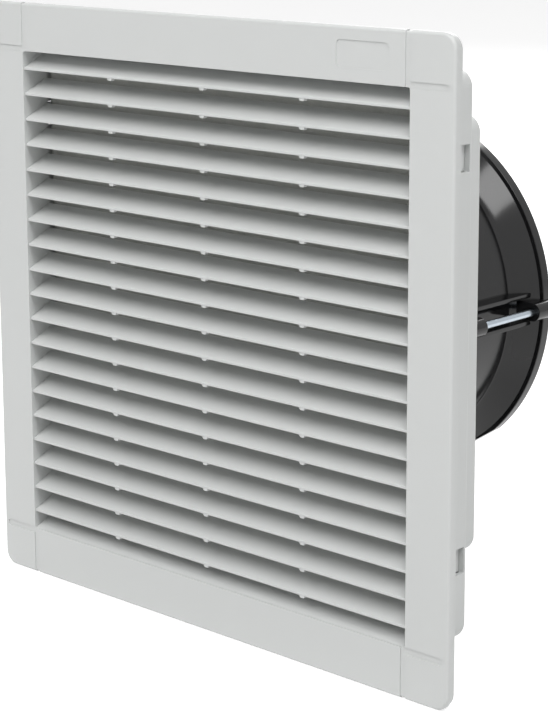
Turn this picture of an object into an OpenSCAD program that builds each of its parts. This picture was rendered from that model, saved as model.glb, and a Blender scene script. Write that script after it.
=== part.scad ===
/* [Front] */
// Width and height of the square front
front_w = 320; // [300:1:340]
// Corner radius seen from the front
front_r = 7.5; // [6:0.5:10]
// Width of the bars round the louvres
bar_w = 26; // [24:0.5:30]
// Thickness of the cover's front plate
cover_t = 3.4; // [3:0.1:4]
// Rounding of the cover's front edge
cover_edge = 1.6; // [0.8:0.1:2]
// Joint line between cover and flange
part_gap = 0.4; // [0.3:0.05:0.6]
// Width of the grooves round the corner squares
groove_w = 3.4; // [1.5:0.1:4]
// Depth of the grooves
groove_d = 0.5; // [0.3:0.1:1]
// Width of the shallow recess in the top bar
recess_w = 32; // [20:1:45]
// Height of the shallow recess
recess_h = 13; // [10:0.5:17]
// Distance of the recess's middle from the front's side
recess_side = 54.5; // [45:0.5:100]
// Depth of the shallow recess
recess_d = 0.4; // [0.2:0.1:0.8]

/* [Louvres] */
// Number of slats
slat_count = 19; // [15:1:20]
// Height of the first opening under the top bar
slat_drop = 10.2; // [8:0.1:12]
// Height of the last slat's edge above the bottom bar
slat_last = 9.4; // [8:0.1:12]
// Depth of a slat from front to back
slat_depth = 14.5; // [12:0.1:15]
// Rise of a slat from front to back
slat_rise = 6.8; // [5:0.1:8]
// Wall of a slat
slat_t = 1.8; // [1.4:0.1:2.2]
// Height of the lip along a slat's front edge
lip_h = 1.5; // [1:0.1:2.2]
// Depth of that lip
lip_d = 1.3; // [0.8:0.1:2]
// Set-back of the lips behind the front face
lip_back = 1; // [0.5:0.1:1.5]
// Number of upright ribs behind the slats
rib_count = 3; // [1:1:5]
// Thickness of an upright rib
rib_t = 2; // [1.4:0.1:3]
// Width of the nub under each lip, in front of a rib
nub_w = 3.4; // [2:0.1:5]
// Drop of that nub below its lip
nub_h = 1.2; // [0.6:0.1:2]

/* [Cover skirt] */
// Wall of the skirt round the louvres
skirt_t = 1.8; // [1.4:0.1:2]
// Reach of the skirt behind the seat plane
skirt_y = 11; // [10:0.5:13]
// Width of a snap tongue
tongue_w = 22; // [12:1:30]
// Length of a mat finger
finger_w = 26; // [16:1:40]

/* [Filter mat] */
// Space between mat and skirt line on each side
mat_clear = 0.8; // [0.5:0.1:3]
// Space between the mat and its support grid
mat_gap = 0.3; // [0.3:0.1:1]

/* [Mounting base] */
// Thickness of the flange that seats on the panel
flange_t = 2.2; // [2:0.1:3]
// Set-back of the flange inside the cover's outline
flange_in = 0.6; // [0.3:0.1:1.5]
// Wall of the base
wall = 2.6; // [2.2:0.1:3]
// Space between the cover's skirt and the collar
skirt_clear = 1.4; // [1:0.1:2]
// Length of that collar behind the seat plane
collar_len = 34; // [32:0.5:38]
// Width of the ledge between the two collars
ledge_w = 27.5; // [24:0.1:30]
// Distance from the seat plane to the fan's seat
rear_len = 77; // [72:0.5:84]
// Corner radius of both collars
collar_r = 9; // [7:0.5:12]
// Height of the centring ribs over the collar, for the panel's cut-out
centring_h = 4.7; // [4:0.1:5]
// Reach of the centring ribs behind the seat plane
centring_len = 9; // [6:0.5:12]
// Width of the foam seal
seal_w = 6; // [4:0.5:8]
// Depth of the seal's groove
seal_d = 1.2; // [0.8:0.1:1.4]

/* [Panel clips] */
// Distance of each clip's middle from the collar's top or bottom
clip_edge = 41.4; // [30:0.1:60]
// Height of a clip's slot
clip_slot_h = 13; // [10:0.5:16]
// Side clearance of a clip in its slot
clip_side = 0.4; // [0.3:0.05:0.6]
// Radius of a clip's pivot pin
clip_pin_r = 0.8; // [0.6:0.05:0.9]
// Depth of the pivot inside the collar's inner wall
clip_in = 1.6; // [1.4:0.1:2]
// Distance of the pivot in front of the support grid
clip_back = 2.4; // [2:0.1:4]
// Wall of the cheeks that carry the pivot
cheek_t = 2.5; // [2:0.1:4]
// Running clearance of the pivot pin
clip_run = 0.05; // [0.03:0.01:0.08]
// Height of the clip noses over the collar
nose_out = 7.6; // [6.7:0.1:8.2]
// Distance from the seat plane to a nose
nose_y = 3.6; // [3:0.1:4]
// Length of the nose along the panel's normal
nose_len = 9; // [7:0.5:11]

/* [Mat grid] */
// Depth of the support grid
grid_t = 2.4; // [1.6:0.1:3]
// Width of a grid bar
grid_bar = 2.4; // [1.6:0.1:4]
// Number of inner bars each way
grid_bars = 7; // [5:2:11]

/* [Fan housing] */
// Distance of the long screws from the rear collar's wall
screw_in = 11.2; // [10:0.1:14]
// Distance of the long screws outside the duct
screw_off = 12.5; // [11:0.1:14]
// Reach of the rear rim outside the duct
flare_w = 13; // [11:0.5:14]
// Length of the rear rim
rim_t = 6; // [4:0.5:8]
// Depth of the rim's step over the flare
rim_step = 2.5; // [1.5:0.1:4]
// Wall of the duct
duct_t = 2.5; // [2:0.1:3]
// Length of the whole fan
fan_len = 81; // [78:0.5:90]
// Length of the flare in front of the rim
flare_len = 14; // [10:0.5:18]
// Reach of the front flange outside the duct
fan_flange_w = 10; // [9:0.5:11]
// Thickness of the front flange
fan_flange_t = 3; // [2:0.1:4]
// Rounding of the inlet
inlet_round = 4; // [2:0.5:5]
// Radius of the bosses and ears round the long screws
boss_r = 5; // [4.4:0.1:6]
// Length of a front boss
boss_len = 20; // [16:0.5:28]
// Length of a rear ear
ear_len = 16; // [12:0.5:20]
// Height of the ribs along the duct
duct_rib_h = 7; // [4:0.5:9]
// Width of a motor strut
strut_w = 8; // [6:0.5:10]
// Depth of a motor strut
strut_t = 5; // [4:0.5:6]
// Radius of the motor plate
plate_r = 30; // [26:0.5:34]
// Thickness of the motor plate
plate_t = 4; // [3:0.5:5]

/* [Impeller] */
// Number of blades
blade_count = 7; // [5:1:9]
// Gap from blade tip to duct
tip_gap = 1.5; // [1:0.1:3]
// Wall of the impeller's hub
hub_t = 2.5; // [2:0.1:3.5]
// Thickness of a blade
blade_t = 2; // [1.6:0.1:2.6]
// Pitch angle of a blade at the hub
pitch_hub = 48; // [40:1:55]
// Pitch angle of a blade at the tip
pitch_tip = 30; // [24:1:38]

/* [Motor] */
// Wall of the rotor cup
can_t = 1.6; // [1.2:0.1:2]
// Length of the rotor cup
can_len = 42; // [40:0.5:43]
// Thickness of the rotor's cage ring
cage_t = 5; // [4:0.1:5.5]
// Air gap between stator and cage ring
air_gap = 0.5; // [0.4:0.05:0.8]
// Wall of the stack's hub
yoke_t = 2.5; // [2:0.1:3]
// Length of a stator pole's neck
pole_len = 14.2; // [12:0.1:15]
// Thickness of a stator pole's shoe
shoe_t = 2.7; // [2.2:0.1:3]
// Length of the laminated stack
stack_len = 20; // [16:0.5:22]
// Number of stator poles
pole_count = 8; // [6:2:10]
// Radius of the shaft
shaft_r = 4; // [3:0.1:4.5]
// Running clearance of the shaft in its bearings
shaft_run = 0.03; // [0.02:0.01:0.06]
// Outer radius of the ball bearings
bearing_r = 11; // [10:0.1:11.5]
// Width of a ball bearing
bearing_w = 7; // [6:0.1:8]
// Wall of the bearing tube
tube_t = 2.5; // [2:0.1:3]

/* [Screws] */
// Radius of the long screws
screw_r = 2; // [1.8:0.05:2.1]
// Clearance of the long screws in their holes
screw_clear = 0.2; // [0.1:0.05:0.4]
// Radius of a screw head
head_r = 3.9; // [3.5:0.1:4.2]
// Height of a screw head
head_h = 2.7; // [2:0.1:3.2]
// Radius of a washer
washer_r = 4.5; // [4.2:0.1:5]
// Thickness of a washer
washer_t = 0.8; // [0.6:0.1:1.2]
// Width across a nut's flats
nut_af = 7; // [6.5:0.1:7.5]
// Height of a nut
nut_h = 3.2; // [2.8:0.1:3.6]
// Length of the screw past its nut
screw_past = 3; // [1:0.5:5]

/* [Finger guard] */
// Radius of the guard's wire
wire_r = 1.1; // [0.8:0.1:1.4]
// Number of wire rings
guard_rings = 6; // [4:1:7]
// Radius of the smallest ring
guard_r0 = 20; // [14:1:28]
// Space between the largest ring's middle and the duct's bore
guard_clear = 1.5; // [1.2:0.1:6]
// Thickness of the guard's eyes
eye_t = 1.4; // [1:0.1:2]

/* [Terminal block] */
// Width of the terminal block
term_w = 20; // [18:0.5:21]
// Height of the terminal block over three poles
term_h = 34; // [31:0.5:40]
// Depth of the terminal block
term_d = 17; // [15:0.5:20]
// Height of its middle below the fan's axis
term_drop = 62; // [50:1:75]
// Distance of the terminal block from the collar's side
term_edge = 1; // [0.5:0.1:2]
// Radius of a wire entry
entry_r = 2; // [1.6:0.1:2.3]
// Radius of the entries for the fan's own wires
inner_entry_r = 1.5; // [1.3:0.1:2]
// Depth of a wire entry
entry_len = 9; // [7:0.5:10]

/* [Leads] */
// Radius of the motor lead
lead_r = 2.4; // [2:0.1:2.6]
// Radius of one of its cores
core_r = 0.9; // [0.8:0.05:1]
// Radius of the earth lead
earth_r = 1.2; // [1:0.1:1.3]
// Reach of the ring tag's barrel from its screw
tag_len = 8; // [6:0.5:10]

/* [Hidden] */
$fn = 96;

cut = 0.5;
bond = 0.2;
white = "#cdd0d0";
black = "#17181a";
steel = "#b9bec4";

front_half = front_w / 2;
front_t = cover_t + part_gap + flange_t;
front_y = -front_t;
cover_back = front_y + cover_t;
field = front_half - bar_w;
field_r = 1.5;
skirt_out = field + skirt_t;
collar_in = skirt_out + skirt_clear;
collar_half = collar_in + wall;
rear_half = collar_half - ledge_w;
rear_in = rear_half - wall;
inner_r = collar_r - wall;
centring_half = collar_half + centring_h;
nose_half = collar_half + nose_out;
clip_z = collar_half - clip_edge;
screw_ring_r = rear_in - screw_in;
duct_r = screw_ring_r - screw_off;
rim_r = duct_r + flare_w;
fan_flange_r = duct_r + fan_flange_w;
slat_y = front_y + lip_back;
slat_pitch = (2 * field - slat_drop - slat_last) / (slat_count - 1);
recess_x = front_half - recess_side;
flange_half = front_half - flange_in;
fan_y = rear_len;
fan_end = fan_y + fan_len;
rim_y = fan_end - rim_t;
flare_y = rim_y - flare_len;
duct_end = flare_y - cut;
flare_r = rim_r - rim_step;
bore_r = duct_r - duct_t;
bore_hole = screw_r + screw_clear;
guard_r1 = bore_r - guard_clear;
plate_y = fan_end - rim_t - plate_t;
strut_y = rim_y - strut_t / 2;
grid_y = collar_len - wall - grid_t;
mat_y = skirt_y;
mat_t = grid_y - mat_gap - mat_y;
can_y = plate_y - can_len - 3 * can_t;
tip_r = bore_r - tip_gap;
tube_r = bearing_r + tube_t;
stator_r = tube_r + yoke_t + pole_len + shoe_t;
can_r = stator_r + air_gap + cage_t + can_t;
stack_y = can_y + can_len / 2 - stack_len / 2 + can_t;
bearing_y1 = stack_y - bearing_w / 2;
bearing_y2 = stack_y + stack_len - bearing_w / 2;
tube_y = bearing_y1 - can_t;
shaft_end = bearing_y2 + bearing_w + 2 * can_t;
term_x = -collar_half + term_edge + term_w / 2;
term_y = collar_len;
term_pole = term_h / 3;
fix_r = entry_r * 0.6;
earth_screw_r = screw_r * 0.7;
earth_turn = 160;
earth_at = (duct_r + fan_flange_r) / 2;
tag_t = eye_t / 2;
lead_y = strut_y + strut_t + lead_r + cut;

// A flat outline in X and Z pushed back from y0 by h
module back(y0, h) {
    translate([0, y0 + h, 0])
    rotate([90, 0, 0])
    linear_extrude(height = h)
    children();
}

// A profile of radius and depth turned about the Y axis
module turned() {
    rotate([-90, 0, 0])
    rotate_extrude()
    children();
}

// A profile of depth and height drawn out along X
module along_x(w) {
    rotate([90, 0, 90])
    linear_extrude(height = w, center = true)
    children();
}

// A rod along Y
module rod(r, y0, h) {
    translate([0, y0, 0])
    rotate([-90, 0, 0])
    cylinder(r = r, h = h);
}

// A square outline with round corners
module rounded(half, r) {
    square([2 * half, 2 * (half - r)], center = true);
    square([2 * (half - r), 2 * half], center = true);
    for (sx = [-1, 1]) {
        for (sz = [-1, 1]) {
            translate([sx * (half - r), sz * (half - r)])
            circle(r = r);
        }
    }
}

// A rounded rectangle of its own width and height
module rounded_box(w, h, r) {
    square([w, h - 2 * r], center = true);
    square([w - 2 * r, h], center = true);
    for (sx = [-1, 1]) {
        for (sz = [-1, 1]) {
            translate([sx * (w / 2 - r), sz * (h / 2 - r)])
            circle(r = r);
        }
    }
}

// A square frame between two outlines
module ring_frame(out, out_r, inner, in_r) {
    difference() {
        rounded(out, out_r);
        rounded(inner, in_r);
    }
}

// Copies at the four long screws
module at_screws() {
    for (a = [0, 90, 180, 270]) {
        rotate([0, a, 0])
        translate([screw_ring_r, 0, 0])
        children();
    }
}

// Copies at the terminal block's two fixing screws
module at_term_fix() {
    for (s = [-1, 1]) {
        translate([term_x + term_w / 2 - entry_r * 2, 0, -term_drop + s * term_pole / 2])
        children();
    }
}

// The place of the earth screw on the fan's front flange
module at_earth() {
    rotate([0, earth_turn, 0])
    translate([earth_at, 0, 0])
    children();
}

// Front cover

// The front plate with its rounded outer edge
module cover_plate() {
    steps = 5;
    hull() {
        for (sx = [-1, 1]) {
            for (sz = [-1, 1]) {
                translate([sx * (front_half - front_r), 0, sz * (front_half - front_r)])
                rotate([-90, 0, 0])
                rotate_extrude($fn = 32)
                polygon(concat(
                    [[0, cover_back], [front_r, cover_back]],
                    [for (k = [0:steps]) let (a = 90 * k / steps)
                        [front_r - cover_edge + cover_edge * cos(a),
                         front_y + cover_edge - cover_edge * sin(a)]],
                    [[0, front_y]]));
            }
        }
    }
}

module cover_grooves() {
    run_len = bar_w - cover_edge * 2;
    up_x = field - groove_w / 3;
    side_z = field + groove_w / 3;
    for (sx = [-1, 1]) {
        for (sz = [-1, 1]) {
            translate([sx * up_x, front_y, sz * (field + bar_w / 2)])
            cube([groove_w, 2 * groove_d, bar_w + cut], center = true);
            translate([sx * up_x, front_y, sz * front_half])
            cube([groove_w, 3 * cover_t, 2 * groove_d], center = true);
            translate([sx * (field + run_len / 2), front_y, sz * side_z])
            cube([run_len, 2 * groove_d, groove_w], center = true);
        }
    }
}

module slat(z) {
    along_x(2 * field)
    polygon([
        [slat_y, z],
        [slat_y, z + lip_h],
        [slat_y + slat_depth, z + lip_h + slat_rise],
        [slat_y + slat_depth, z + lip_h + slat_rise - slat_t],
        [slat_y + lip_d, z]]);
}

module front_cover() {
    tongue_at_share = 0.6;
    tongue_t = collar_in - skirt_out - 0.75 * part_gap;
    color(white) {
        difference() {
            cover_plate();
            back(front_y - cut, cover_t + 2 * cut)
            rounded(field, field_r);
            cover_grooves();
            translate([recess_x, 0, field + bar_w / 2])
            back(front_y - cut, cut + recess_d)
            rounded_box(recess_w, recess_h, 2 * lip_d);
        }
        back(cover_back - bond, skirt_y - cover_back + bond)
        ring_frame(skirt_out, field_r + skirt_t, field, field_r);
        for (s = [-1, 1]) {
            for (z = [-1, 1]) {
                translate([s * field * tongue_at_share - tongue_w / 2, cover_back - bond,
                    z > 0 ? skirt_out - bond : -skirt_out - tongue_t])
                cube([tongue_w, skirt_y - cover_back + bond, tongue_t + bond]);
            }
        }
        for (a = [0, 90, 180, 270]) {
            rotate([0, a, 0])
            translate([skirt_out - skirt_t, skirt_y - bond, -finger_w / 2])
            cube([skirt_t, mat_t * 0.75 + bond, finger_w]);
        }
    }
}

// The sill at the foot of the window, which slopes as the slats do
module window_sill() {
    sill_back = slat_y + slat_depth;
    along_x(2 * (field - field_r))
    polygon([
        [front_y + lip_back, -field],
        [sill_back, slat_rise - field],
        [sill_back, -field]]);
}

// The slats, the ribs behind them and a nub under each lip, which fill the cover's window
module louvre_grille() {
    rib_y = slat_y + slat_depth - slat_t / 2;
    color(white) {
        window_sill();
        for (i = [0:slat_count - 1]) {
            slat(field - slat_drop - i * slat_pitch);
        }
        for (i = [1:rib_count]) {
            rib_x = -field + 2 * field * i / (rib_count + 1);
            translate([rib_x - rib_t / 2, rib_y, -field])
            cube([rib_t, skirt_y - rib_y, 2 * field]);
            for (k = [0:slat_count - 1]) {
                translate([rib_x - nub_w / 2, slat_y + bond,
                    field - slat_drop - k * slat_pitch - nub_h])
                cube([nub_w, 2 * lip_d, nub_h + lip_h / 2]);
            }
        }
    }
}

module filter_mat() {
    color("#eef0ee")
    back(mat_y, mat_t)
    rounded(field - mat_clear, field_r);
}

// Mounting base

// The slot that one panel clip sits in, on the right at the top
module clip_slot() {
    slot_y0 = centring_len / 3;
    slot_y1 = collar_len - wall / 2 - slat_t / 2;
    translate([collar_in - cut, slot_y0, clip_z - clip_slot_h / 2])
    cube([wall + 2 * cut, slot_y1 - slot_y0, clip_slot_h]);
}

pivot_x = collar_in - clip_in;
pivot_y = grid_y - clip_back;
pin_reach = 2 * clip_pin_r;

// The two cheeks inside the wall that carry the clip's pivot pins
module clip_cheeks() {
    half_y = clip_back - part_gap;
    for (s = [-1, 1]) {
        translate([pivot_x - clip_in, pivot_y - half_y,
            clip_z + s * (clip_slot_h + cheek_t) / 2 - cheek_t / 2])
        cube([2 * clip_in + bond, 2 * half_y, cheek_t]);
    }
}

module clip_bores() {
    translate([pivot_x, pivot_y, clip_z])
    cylinder(r = clip_pin_r + clip_run, h = clip_slot_h + 2 * pin_reach + clip_side, center = true);
}

module base_frame() {
    rib_at_share = [-0.88, -0.42, 0, 0.42, 0.88];
    color(white)
    difference() {
        union() {
            back(-flange_t, flange_t)
            ring_frame(flange_half, front_r, collar_in, inner_r);
            back(-bond, collar_len + bond)
            ring_frame(collar_half, collar_r, collar_in, inner_r);
            back(collar_len - wall, wall)
            ring_frame(collar_half, collar_r, rear_in, inner_r);
            back(collar_len - wall, rear_len - collar_len + wall)
            ring_frame(rear_half, collar_r, rear_in, inner_r);
            back(rear_len - wall, wall)
            difference() {
                rounded(rear_half, collar_r);
                circle(r = bore_r + inlet_round);
            }
            for (a = [0, 90, 180, 270]) {
                for (s = rib_at_share) {
                    rotate([0, a, 0])
                    translate([collar_half - bond, -bond, s * collar_half - rib_t / 2])
                    linear_extrude(height = rib_t)
                    polygon([[0, 0], [centring_half - collar_half + bond, 0],
                        [centring_half - collar_half + bond, centring_len * 0.6],
                        [0, centring_len]]);
                }
            }
            for (mx = [0, 1]) {
                for (mz = [0, 1]) {
                    mirror([mx, 0, 0])
                    mirror([0, 0, mz])
                    clip_cheeks();
                }
            }
        }
        for (mx = [0, 1]) {
            for (mz = [0, 1]) {
                mirror([mx, 0, 0])
                mirror([0, 0, mz]) {
                    clip_slot();
                    clip_bores();
                }
            }
        }
        back(-seal_d, seal_d + cut)
        ring_frame(flange_half - seal_w, front_r - seal_d, flange_half - 2 * seal_w, front_r - 2 * seal_d);
        at_screws()
        rod(bore_hole, rear_len - wall - cut, wall + 2 * cut);
        at_term_fix()
        rod(fix_r, collar_len - wall - cut, wall + 2 * cut);
    }
}

module panel_seal() {
    color("#2b2b2b")
    back(-seal_d, seal_d)
    ring_frame(flange_half - seal_w, front_r - seal_d, flange_half - 2 * seal_w, front_r - 2 * seal_d);
}

module mat_grid() {
    span = collar_in - part_gap;
    color(white)
    back(grid_y, grid_t) {
        ring_frame(span, inner_r, span - 2 * grid_bar, inner_r);
        for (i = [1:grid_bars]) {
            translate([-span + 2 * span * i / (grid_bars + 1), 0])
            square([grid_bar, 2 * span - grid_bar], center = true);
            translate([0, -span + 2 * span * i / (grid_bars + 1)])
            square([2 * span - grid_bar, grid_bar], center = true);
        }
    }
}

// One panel clip on the right at the top, with its pivot pins
module panel_clip() {
    arm_in = collar_in + wall / 2;
    clip_h = clip_slot_h - 2 * clip_side;
    barrel = clip_pin_r + part_gap;
    color(white) {
        translate([0, 0, clip_z - clip_h / 2])
        linear_extrude(height = clip_h)
        polygon([
            [pivot_x - barrel, pivot_y],
            [arm_in, nose_y + nose_len],
            [arm_in + bond, nose_y + bond],
            [nose_half - bond, nose_y],
            [nose_half, nose_y + bond],
            [nose_half, nose_y + clip_pin_r],
            [arm_in + slat_t, nose_y + nose_len],
            [pivot_x + barrel, pivot_y]]);
        translate([pivot_x, pivot_y, clip_z])
        cylinder(r = barrel, h = clip_h, center = true);
        translate([pivot_x, pivot_y, clip_z])
        cylinder(r = clip_pin_r, h = clip_slot_h + 2 * pin_reach - clip_side, center = true);
    }
}

module clip_right_top() {
    panel_clip();
}

module clip_right_bottom() {
    mirror([0, 0, 1])
    panel_clip();
}

module clip_left_top() {
    mirror([1, 0, 0])
    panel_clip();
}

module clip_left_bottom() {
    mirror([1, 0, 0])
    mirror([0, 0, 1])
    panel_clip();
}

// Fan housing

// The flare swells from the duct to the rim as a quarter of an ellipse
function flare_at(base_r, shift, k, n) =
    let (a = 90 * k / n)
    [base_r + (flare_r - duct_r) * (1 - cos(a)), flare_y + shift + flare_len * sin(a)];

function inlet_at(k, n) =
    let (a = 90 * k / n)
    [bore_r + inlet_round - inlet_round * sin(a), fan_y + inlet_round - inlet_round * cos(a)];

module duct_ring() {
    n = 8;
    lip_in = rim_r - rim_step - duct_t;
    turned()
    polygon(concat(
        [[fan_flange_r, fan_y], [fan_flange_r, fan_y + fan_flange_t],
         [duct_r, fan_y + fan_flange_t]],
        [for (k = [0:n]) flare_at(duct_r, 0, k, n)],
        [[rim_r, rim_y], [rim_r, fan_end], [lip_in, fan_end]],
        [for (k = [n - 1:-1:0]) flare_at(bore_r, duct_t / 2, k, n)],
        [for (k = [n:-1:0]) inlet_at(k, n)]));
}

// The slanting way of the motor lead through the motor plate
module lead_slot() {
    slot_r = lead_r + 1.5 * bond;
    slot_at = plate_r * 0.6;
    rotate([0, 135, 0])
    back(plate_y - cut, plate_t + 2 * cut) {
        translate([slot_at, 0])
        circle(r = slot_r);
        translate([slot_at, -slot_r])
        square([lead_r, 2 * slot_r]);
        translate([slot_at + lead_r, 0])
        circle(r = slot_r);
    }
}

// A strut from the motor plate to the flare, and on to the rim at its back
module strut() {
    strut_in = plate_r - duct_t;
    translate([strut_in, strut_y, -strut_w / 2])
    cube([bore_r + (flare_r - duct_r) * 0.65 - strut_in, strut_t, strut_w]);
    translate([duct_r, rim_y, -strut_w / 2])
    cube([flare_r - duct_r - bond, strut_y + strut_t - rim_y, strut_w]);
}

// The whole outer moulding of the fan, from its front flange to its rear rim
module housing_shape() {
    ear_y = fan_end - ear_len;
    web_in = duct_r - bond;
    rib_off = boss_r + duct_t;
    flat_share = 0.985;
    difference() {
        union() {
            duct_ring();
            at_screws() {
                rod(boss_r, fan_y, boss_len);
                rod(boss_r, ear_y, ear_len - rim_t / 6);
            }
            for (a = [0, 90, 180, 270]) {
                rotate([0, a, 0]) {
                    translate([web_in, fan_y, -boss_r])
                    cube([screw_ring_r - web_in, boss_len, 2 * boss_r]);
                    translate([web_in, ear_y, -boss_r])
                    cube([screw_ring_r - web_in, ear_len - rim_t / 6, 2 * boss_r]);
                    translate([web_in, fan_y, rib_off - duct_t / 2])
                    cube([duct_rib_h, ear_y - fan_y + duct_rib_h, duct_t]);
                    translate([web_in, fan_y, -rib_off - duct_t / 2])
                    cube([duct_rib_h, ear_y - fan_y + duct_rib_h, duct_t]);
                }
            }
        }
        at_screws() {
            rod(bore_hole, fan_y - cut, fan_len + 2 * cut);
            rod(washer_r + bond, fan_end - rim_t / 6, rim_t);
        }
        for (a = [57, 123]) {
            rotate([0, a, 0])
            translate([rim_r * flat_share, rim_y - cut, -rim_r])
            cube([rim_r, rim_t + 2 * cut, 2 * rim_r]);
        }
        at_earth()
        rod(earth_screw_r, fan_y + bond, fan_flange_t);
    }
}

// The duct, up to where the flare begins
module fan_housing() {
    color(black)
    intersection() {
        housing_shape();
        rod(2 * rim_r, fan_y - cut, duct_end - fan_y + cut);
    }
}

// The flare and the stepped rim with the rear ears, moulded in one with the duct
module outlet_flare() {
    color(black)
    intersection() {
        housing_shape();
        rod(2 * rim_r, duct_end, fan_len);
    }
}

// The four struts, the motor's plate and the bearing tube, moulded in one with the duct
module motor_bracket() {
    color(black)
    difference() {
        union() {
            for (a = [45, 135, 225, 315]) {
                rotate([0, a, 0])
                strut();
            }
            rod(plate_r, plate_y, plate_t);
            rod(tube_r, tube_y, plate_y - tube_y + bond);
        }
        duct_ring();
        rod(bearing_r, tube_y - cut, bearing_y2 + bearing_w - tube_y + cut);
        rod(shaft_r + 2 * can_t, bearing_y2, plate_y + plate_t - bearing_y2 + cut);
        lead_slot();
    }
}

// Finger guard of bent wire, under the four nuts
module finger_guard() {
    ring_y = fan_y - wall - eye_t - wire_r;
    arm_y = ring_y - wire_r;
    color(steel) {
        for (i = [0:guard_rings - 1]) {
            turned()
            translate([guard_r0 + (guard_r1 - guard_r0) * i / (guard_rings - 1), ring_y - 0.8 * wire_r])
            circle(r = wire_r, $fn = 8);
        }
        for (a = [0, 90, 180, 270]) {
            rotate([0, a, 0])
            translate([guard_r0 - wire_r, ring_y + bond, 0])
            rotate([0, 90, 0])
            cylinder(r = wire_r, h = screw_ring_r - washer_r - guard_r0 + wire_r, $fn = 8);
        }
        difference() {
            at_screws()
            rod(boss_r, fan_y - wall - eye_t, eye_t);
            at_screws()
            rod(bore_hole, fan_y - wall - eye_t - cut, eye_t + 2 * cut);
        }
    }
}

// Long screws, washers and nuts
head_y = fan_end - rim_t / 6 + washer_t;
nut_y = fan_y - wall - eye_t - nut_h;

module fan_screws() {
    slot_w = screw_r / 2;
    color(steel)
    difference() {
        at_screws() {
            rod(screw_r, nut_y - screw_past, head_y - nut_y + screw_past + bond);
            rod(head_r, head_y, head_h);
        }
        at_screws() {
            translate([-head_r / 2, head_y + head_h / 2, -slot_w / 2])
            cube([head_r, head_h, slot_w]);
            translate([-slot_w / 2, head_y + head_h / 2, -head_r / 2])
            cube([slot_w, head_h, head_r]);
        }
    }
}

module fan_washers() {
    color(steel)
    difference() {
        at_screws()
        rod(washer_r, head_y - washer_t, washer_t);
        at_screws()
        rod(bore_hole, head_y - washer_t - cut, washer_t + 2 * cut);
    }
}

module fan_nuts() {
    color(steel)
    at_screws()
    back(nut_y, nut_h)
    difference() {
        circle(r = nut_af / sqrt(3), $fn = 6);
        circle(r = screw_r);
    }
}

// Impeller

// A point of the blade: u runs out from hub to tip, v along the chord, side is -1 or 1
function blade_point(u, v, side) =
    let (r = can_r + hub_t / 2 + (tip_r - can_r - hub_t / 2) * u,
         pitch = pitch_hub + (pitch_tip - pitch_hub) * u,
         chord = can_len * (1 - 0.08 * u),
         camber = chord * 0.07 * (1 - v * v),
         thick = side * blade_t / 2 * (1 - 0.55 * v * v),
         along = chord / 2 * v,
         off = camber + thick,
         arc = along * cos(pitch) - off * sin(pitch),
         axial = along * sin(pitch) + off * cos(pitch),
         ang = arc / r * 180 / PI + 9 * u)
    [r * cos(ang), can_y + can_len / 2 + axial, r * sin(ang)];

module blade() {
    nu = 5;
    nv = 8;
    row = nv + 1;
    side_n = (nu + 1) * row;
    points = [for (s = [1, -1]) for (i = [0:nu]) for (j = [0:nv])
        blade_point(i / nu, 2 * j / nv - 1, s)];
    faces = concat(
        [for (i = [0:nu - 1]) for (j = [0:nv - 1])
            [i * row + j, (i + 1) * row + j, i * row + j + 1]],
        [for (i = [0:nu - 1]) for (j = [0:nv - 1])
            [(i + 1) * row + j, (i + 1) * row + j + 1, i * row + j + 1]],
        [for (i = [0:nu - 1]) for (j = [0:nv - 1])
            [side_n + i * row + j, side_n + i * row + j + 1, side_n + (i + 1) * row + j]],
        [for (i = [0:nu - 1]) for (j = [0:nv - 1])
            [side_n + (i + 1) * row + j, side_n + i * row + j + 1, side_n + (i + 1) * row + j + 1]],
        [for (j = [0:nv - 1]) [j, j + 1, side_n + j]],
        [for (j = [0:nv - 1]) [j + 1, side_n + j + 1, side_n + j]],
        [for (j = [0:nv - 1]) [nu * row + j, side_n + nu * row + j, nu * row + j + 1]],
        [for (j = [0:nv - 1]) [nu * row + j + 1, side_n + nu * row + j, side_n + nu * row + j + 1]],
        [for (i = [0:nu - 1]) [i * row, side_n + i * row, (i + 1) * row]],
        [for (i = [0:nu - 1]) [(i + 1) * row, side_n + i * row, side_n + (i + 1) * row]],
        [for (i = [0:nu - 1]) [i * row + nv, (i + 1) * row + nv, side_n + i * row + nv]],
        [for (i = [0:nu - 1]) [(i + 1) * row + nv, side_n + (i + 1) * row + nv, side_n + i * row + nv]]);
    polyhedron(points = points, faces = faces);
}

module impeller() {
    color(black) {
        turned()
        polygon([[can_r, can_y], [can_r + hub_t, can_y + hub_t], [can_r + hub_t, can_y + can_len],
            [can_r, can_y + can_len]]);
        for (i = [0:blade_count - 1]) {
            rotate([0, i * 360 / blade_count, 0])
            blade();
        }
    }
}

// Motor

module rotor_can() {
    seat = can_y + can_t;
    color(steel)
    difference() {
        rod(can_r, can_y, can_len);
        rod(can_r - can_t, seat, can_len);
        rod(shaft_r, can_y - cut, can_len);
    }
}

module rotor_cage() {
    color("#8d9094")
    difference() {
        rod(can_r - can_t, stack_y, stack_len);
        rod(can_r - can_t - cage_t, stack_y - cut, stack_len + 2 * cut);
    }
}

module shaft() {
    groove_y = shaft_end - 2 * can_t;
    color(steel)
    difference() {
        union() {
            rod(shaft_r, can_y, shaft_end - can_y);
            rod(shaft_r + can_t, can_y + can_t, bearing_y1 - can_y - can_t - shaft_run);
        }
        turned()
        translate([shaft_r - can_t / 4, groove_y])
        square([can_t, can_t]);
    }
}

module shaft_clip() {
    color("#3a3c3f")
    difference() {
        rod(shaft_r + can_t, shaft_end - 2 * can_t + shaft_run, can_t - 2 * shaft_run);
        rod(shaft_r - can_t / 4, shaft_end - 3 * can_t, 3 * can_t);
        translate([0, shaft_end - 3 * can_t, -can_t])
        cube([2 * shaft_r, 3 * can_t, 2 * can_t]);
    }
}

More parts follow.
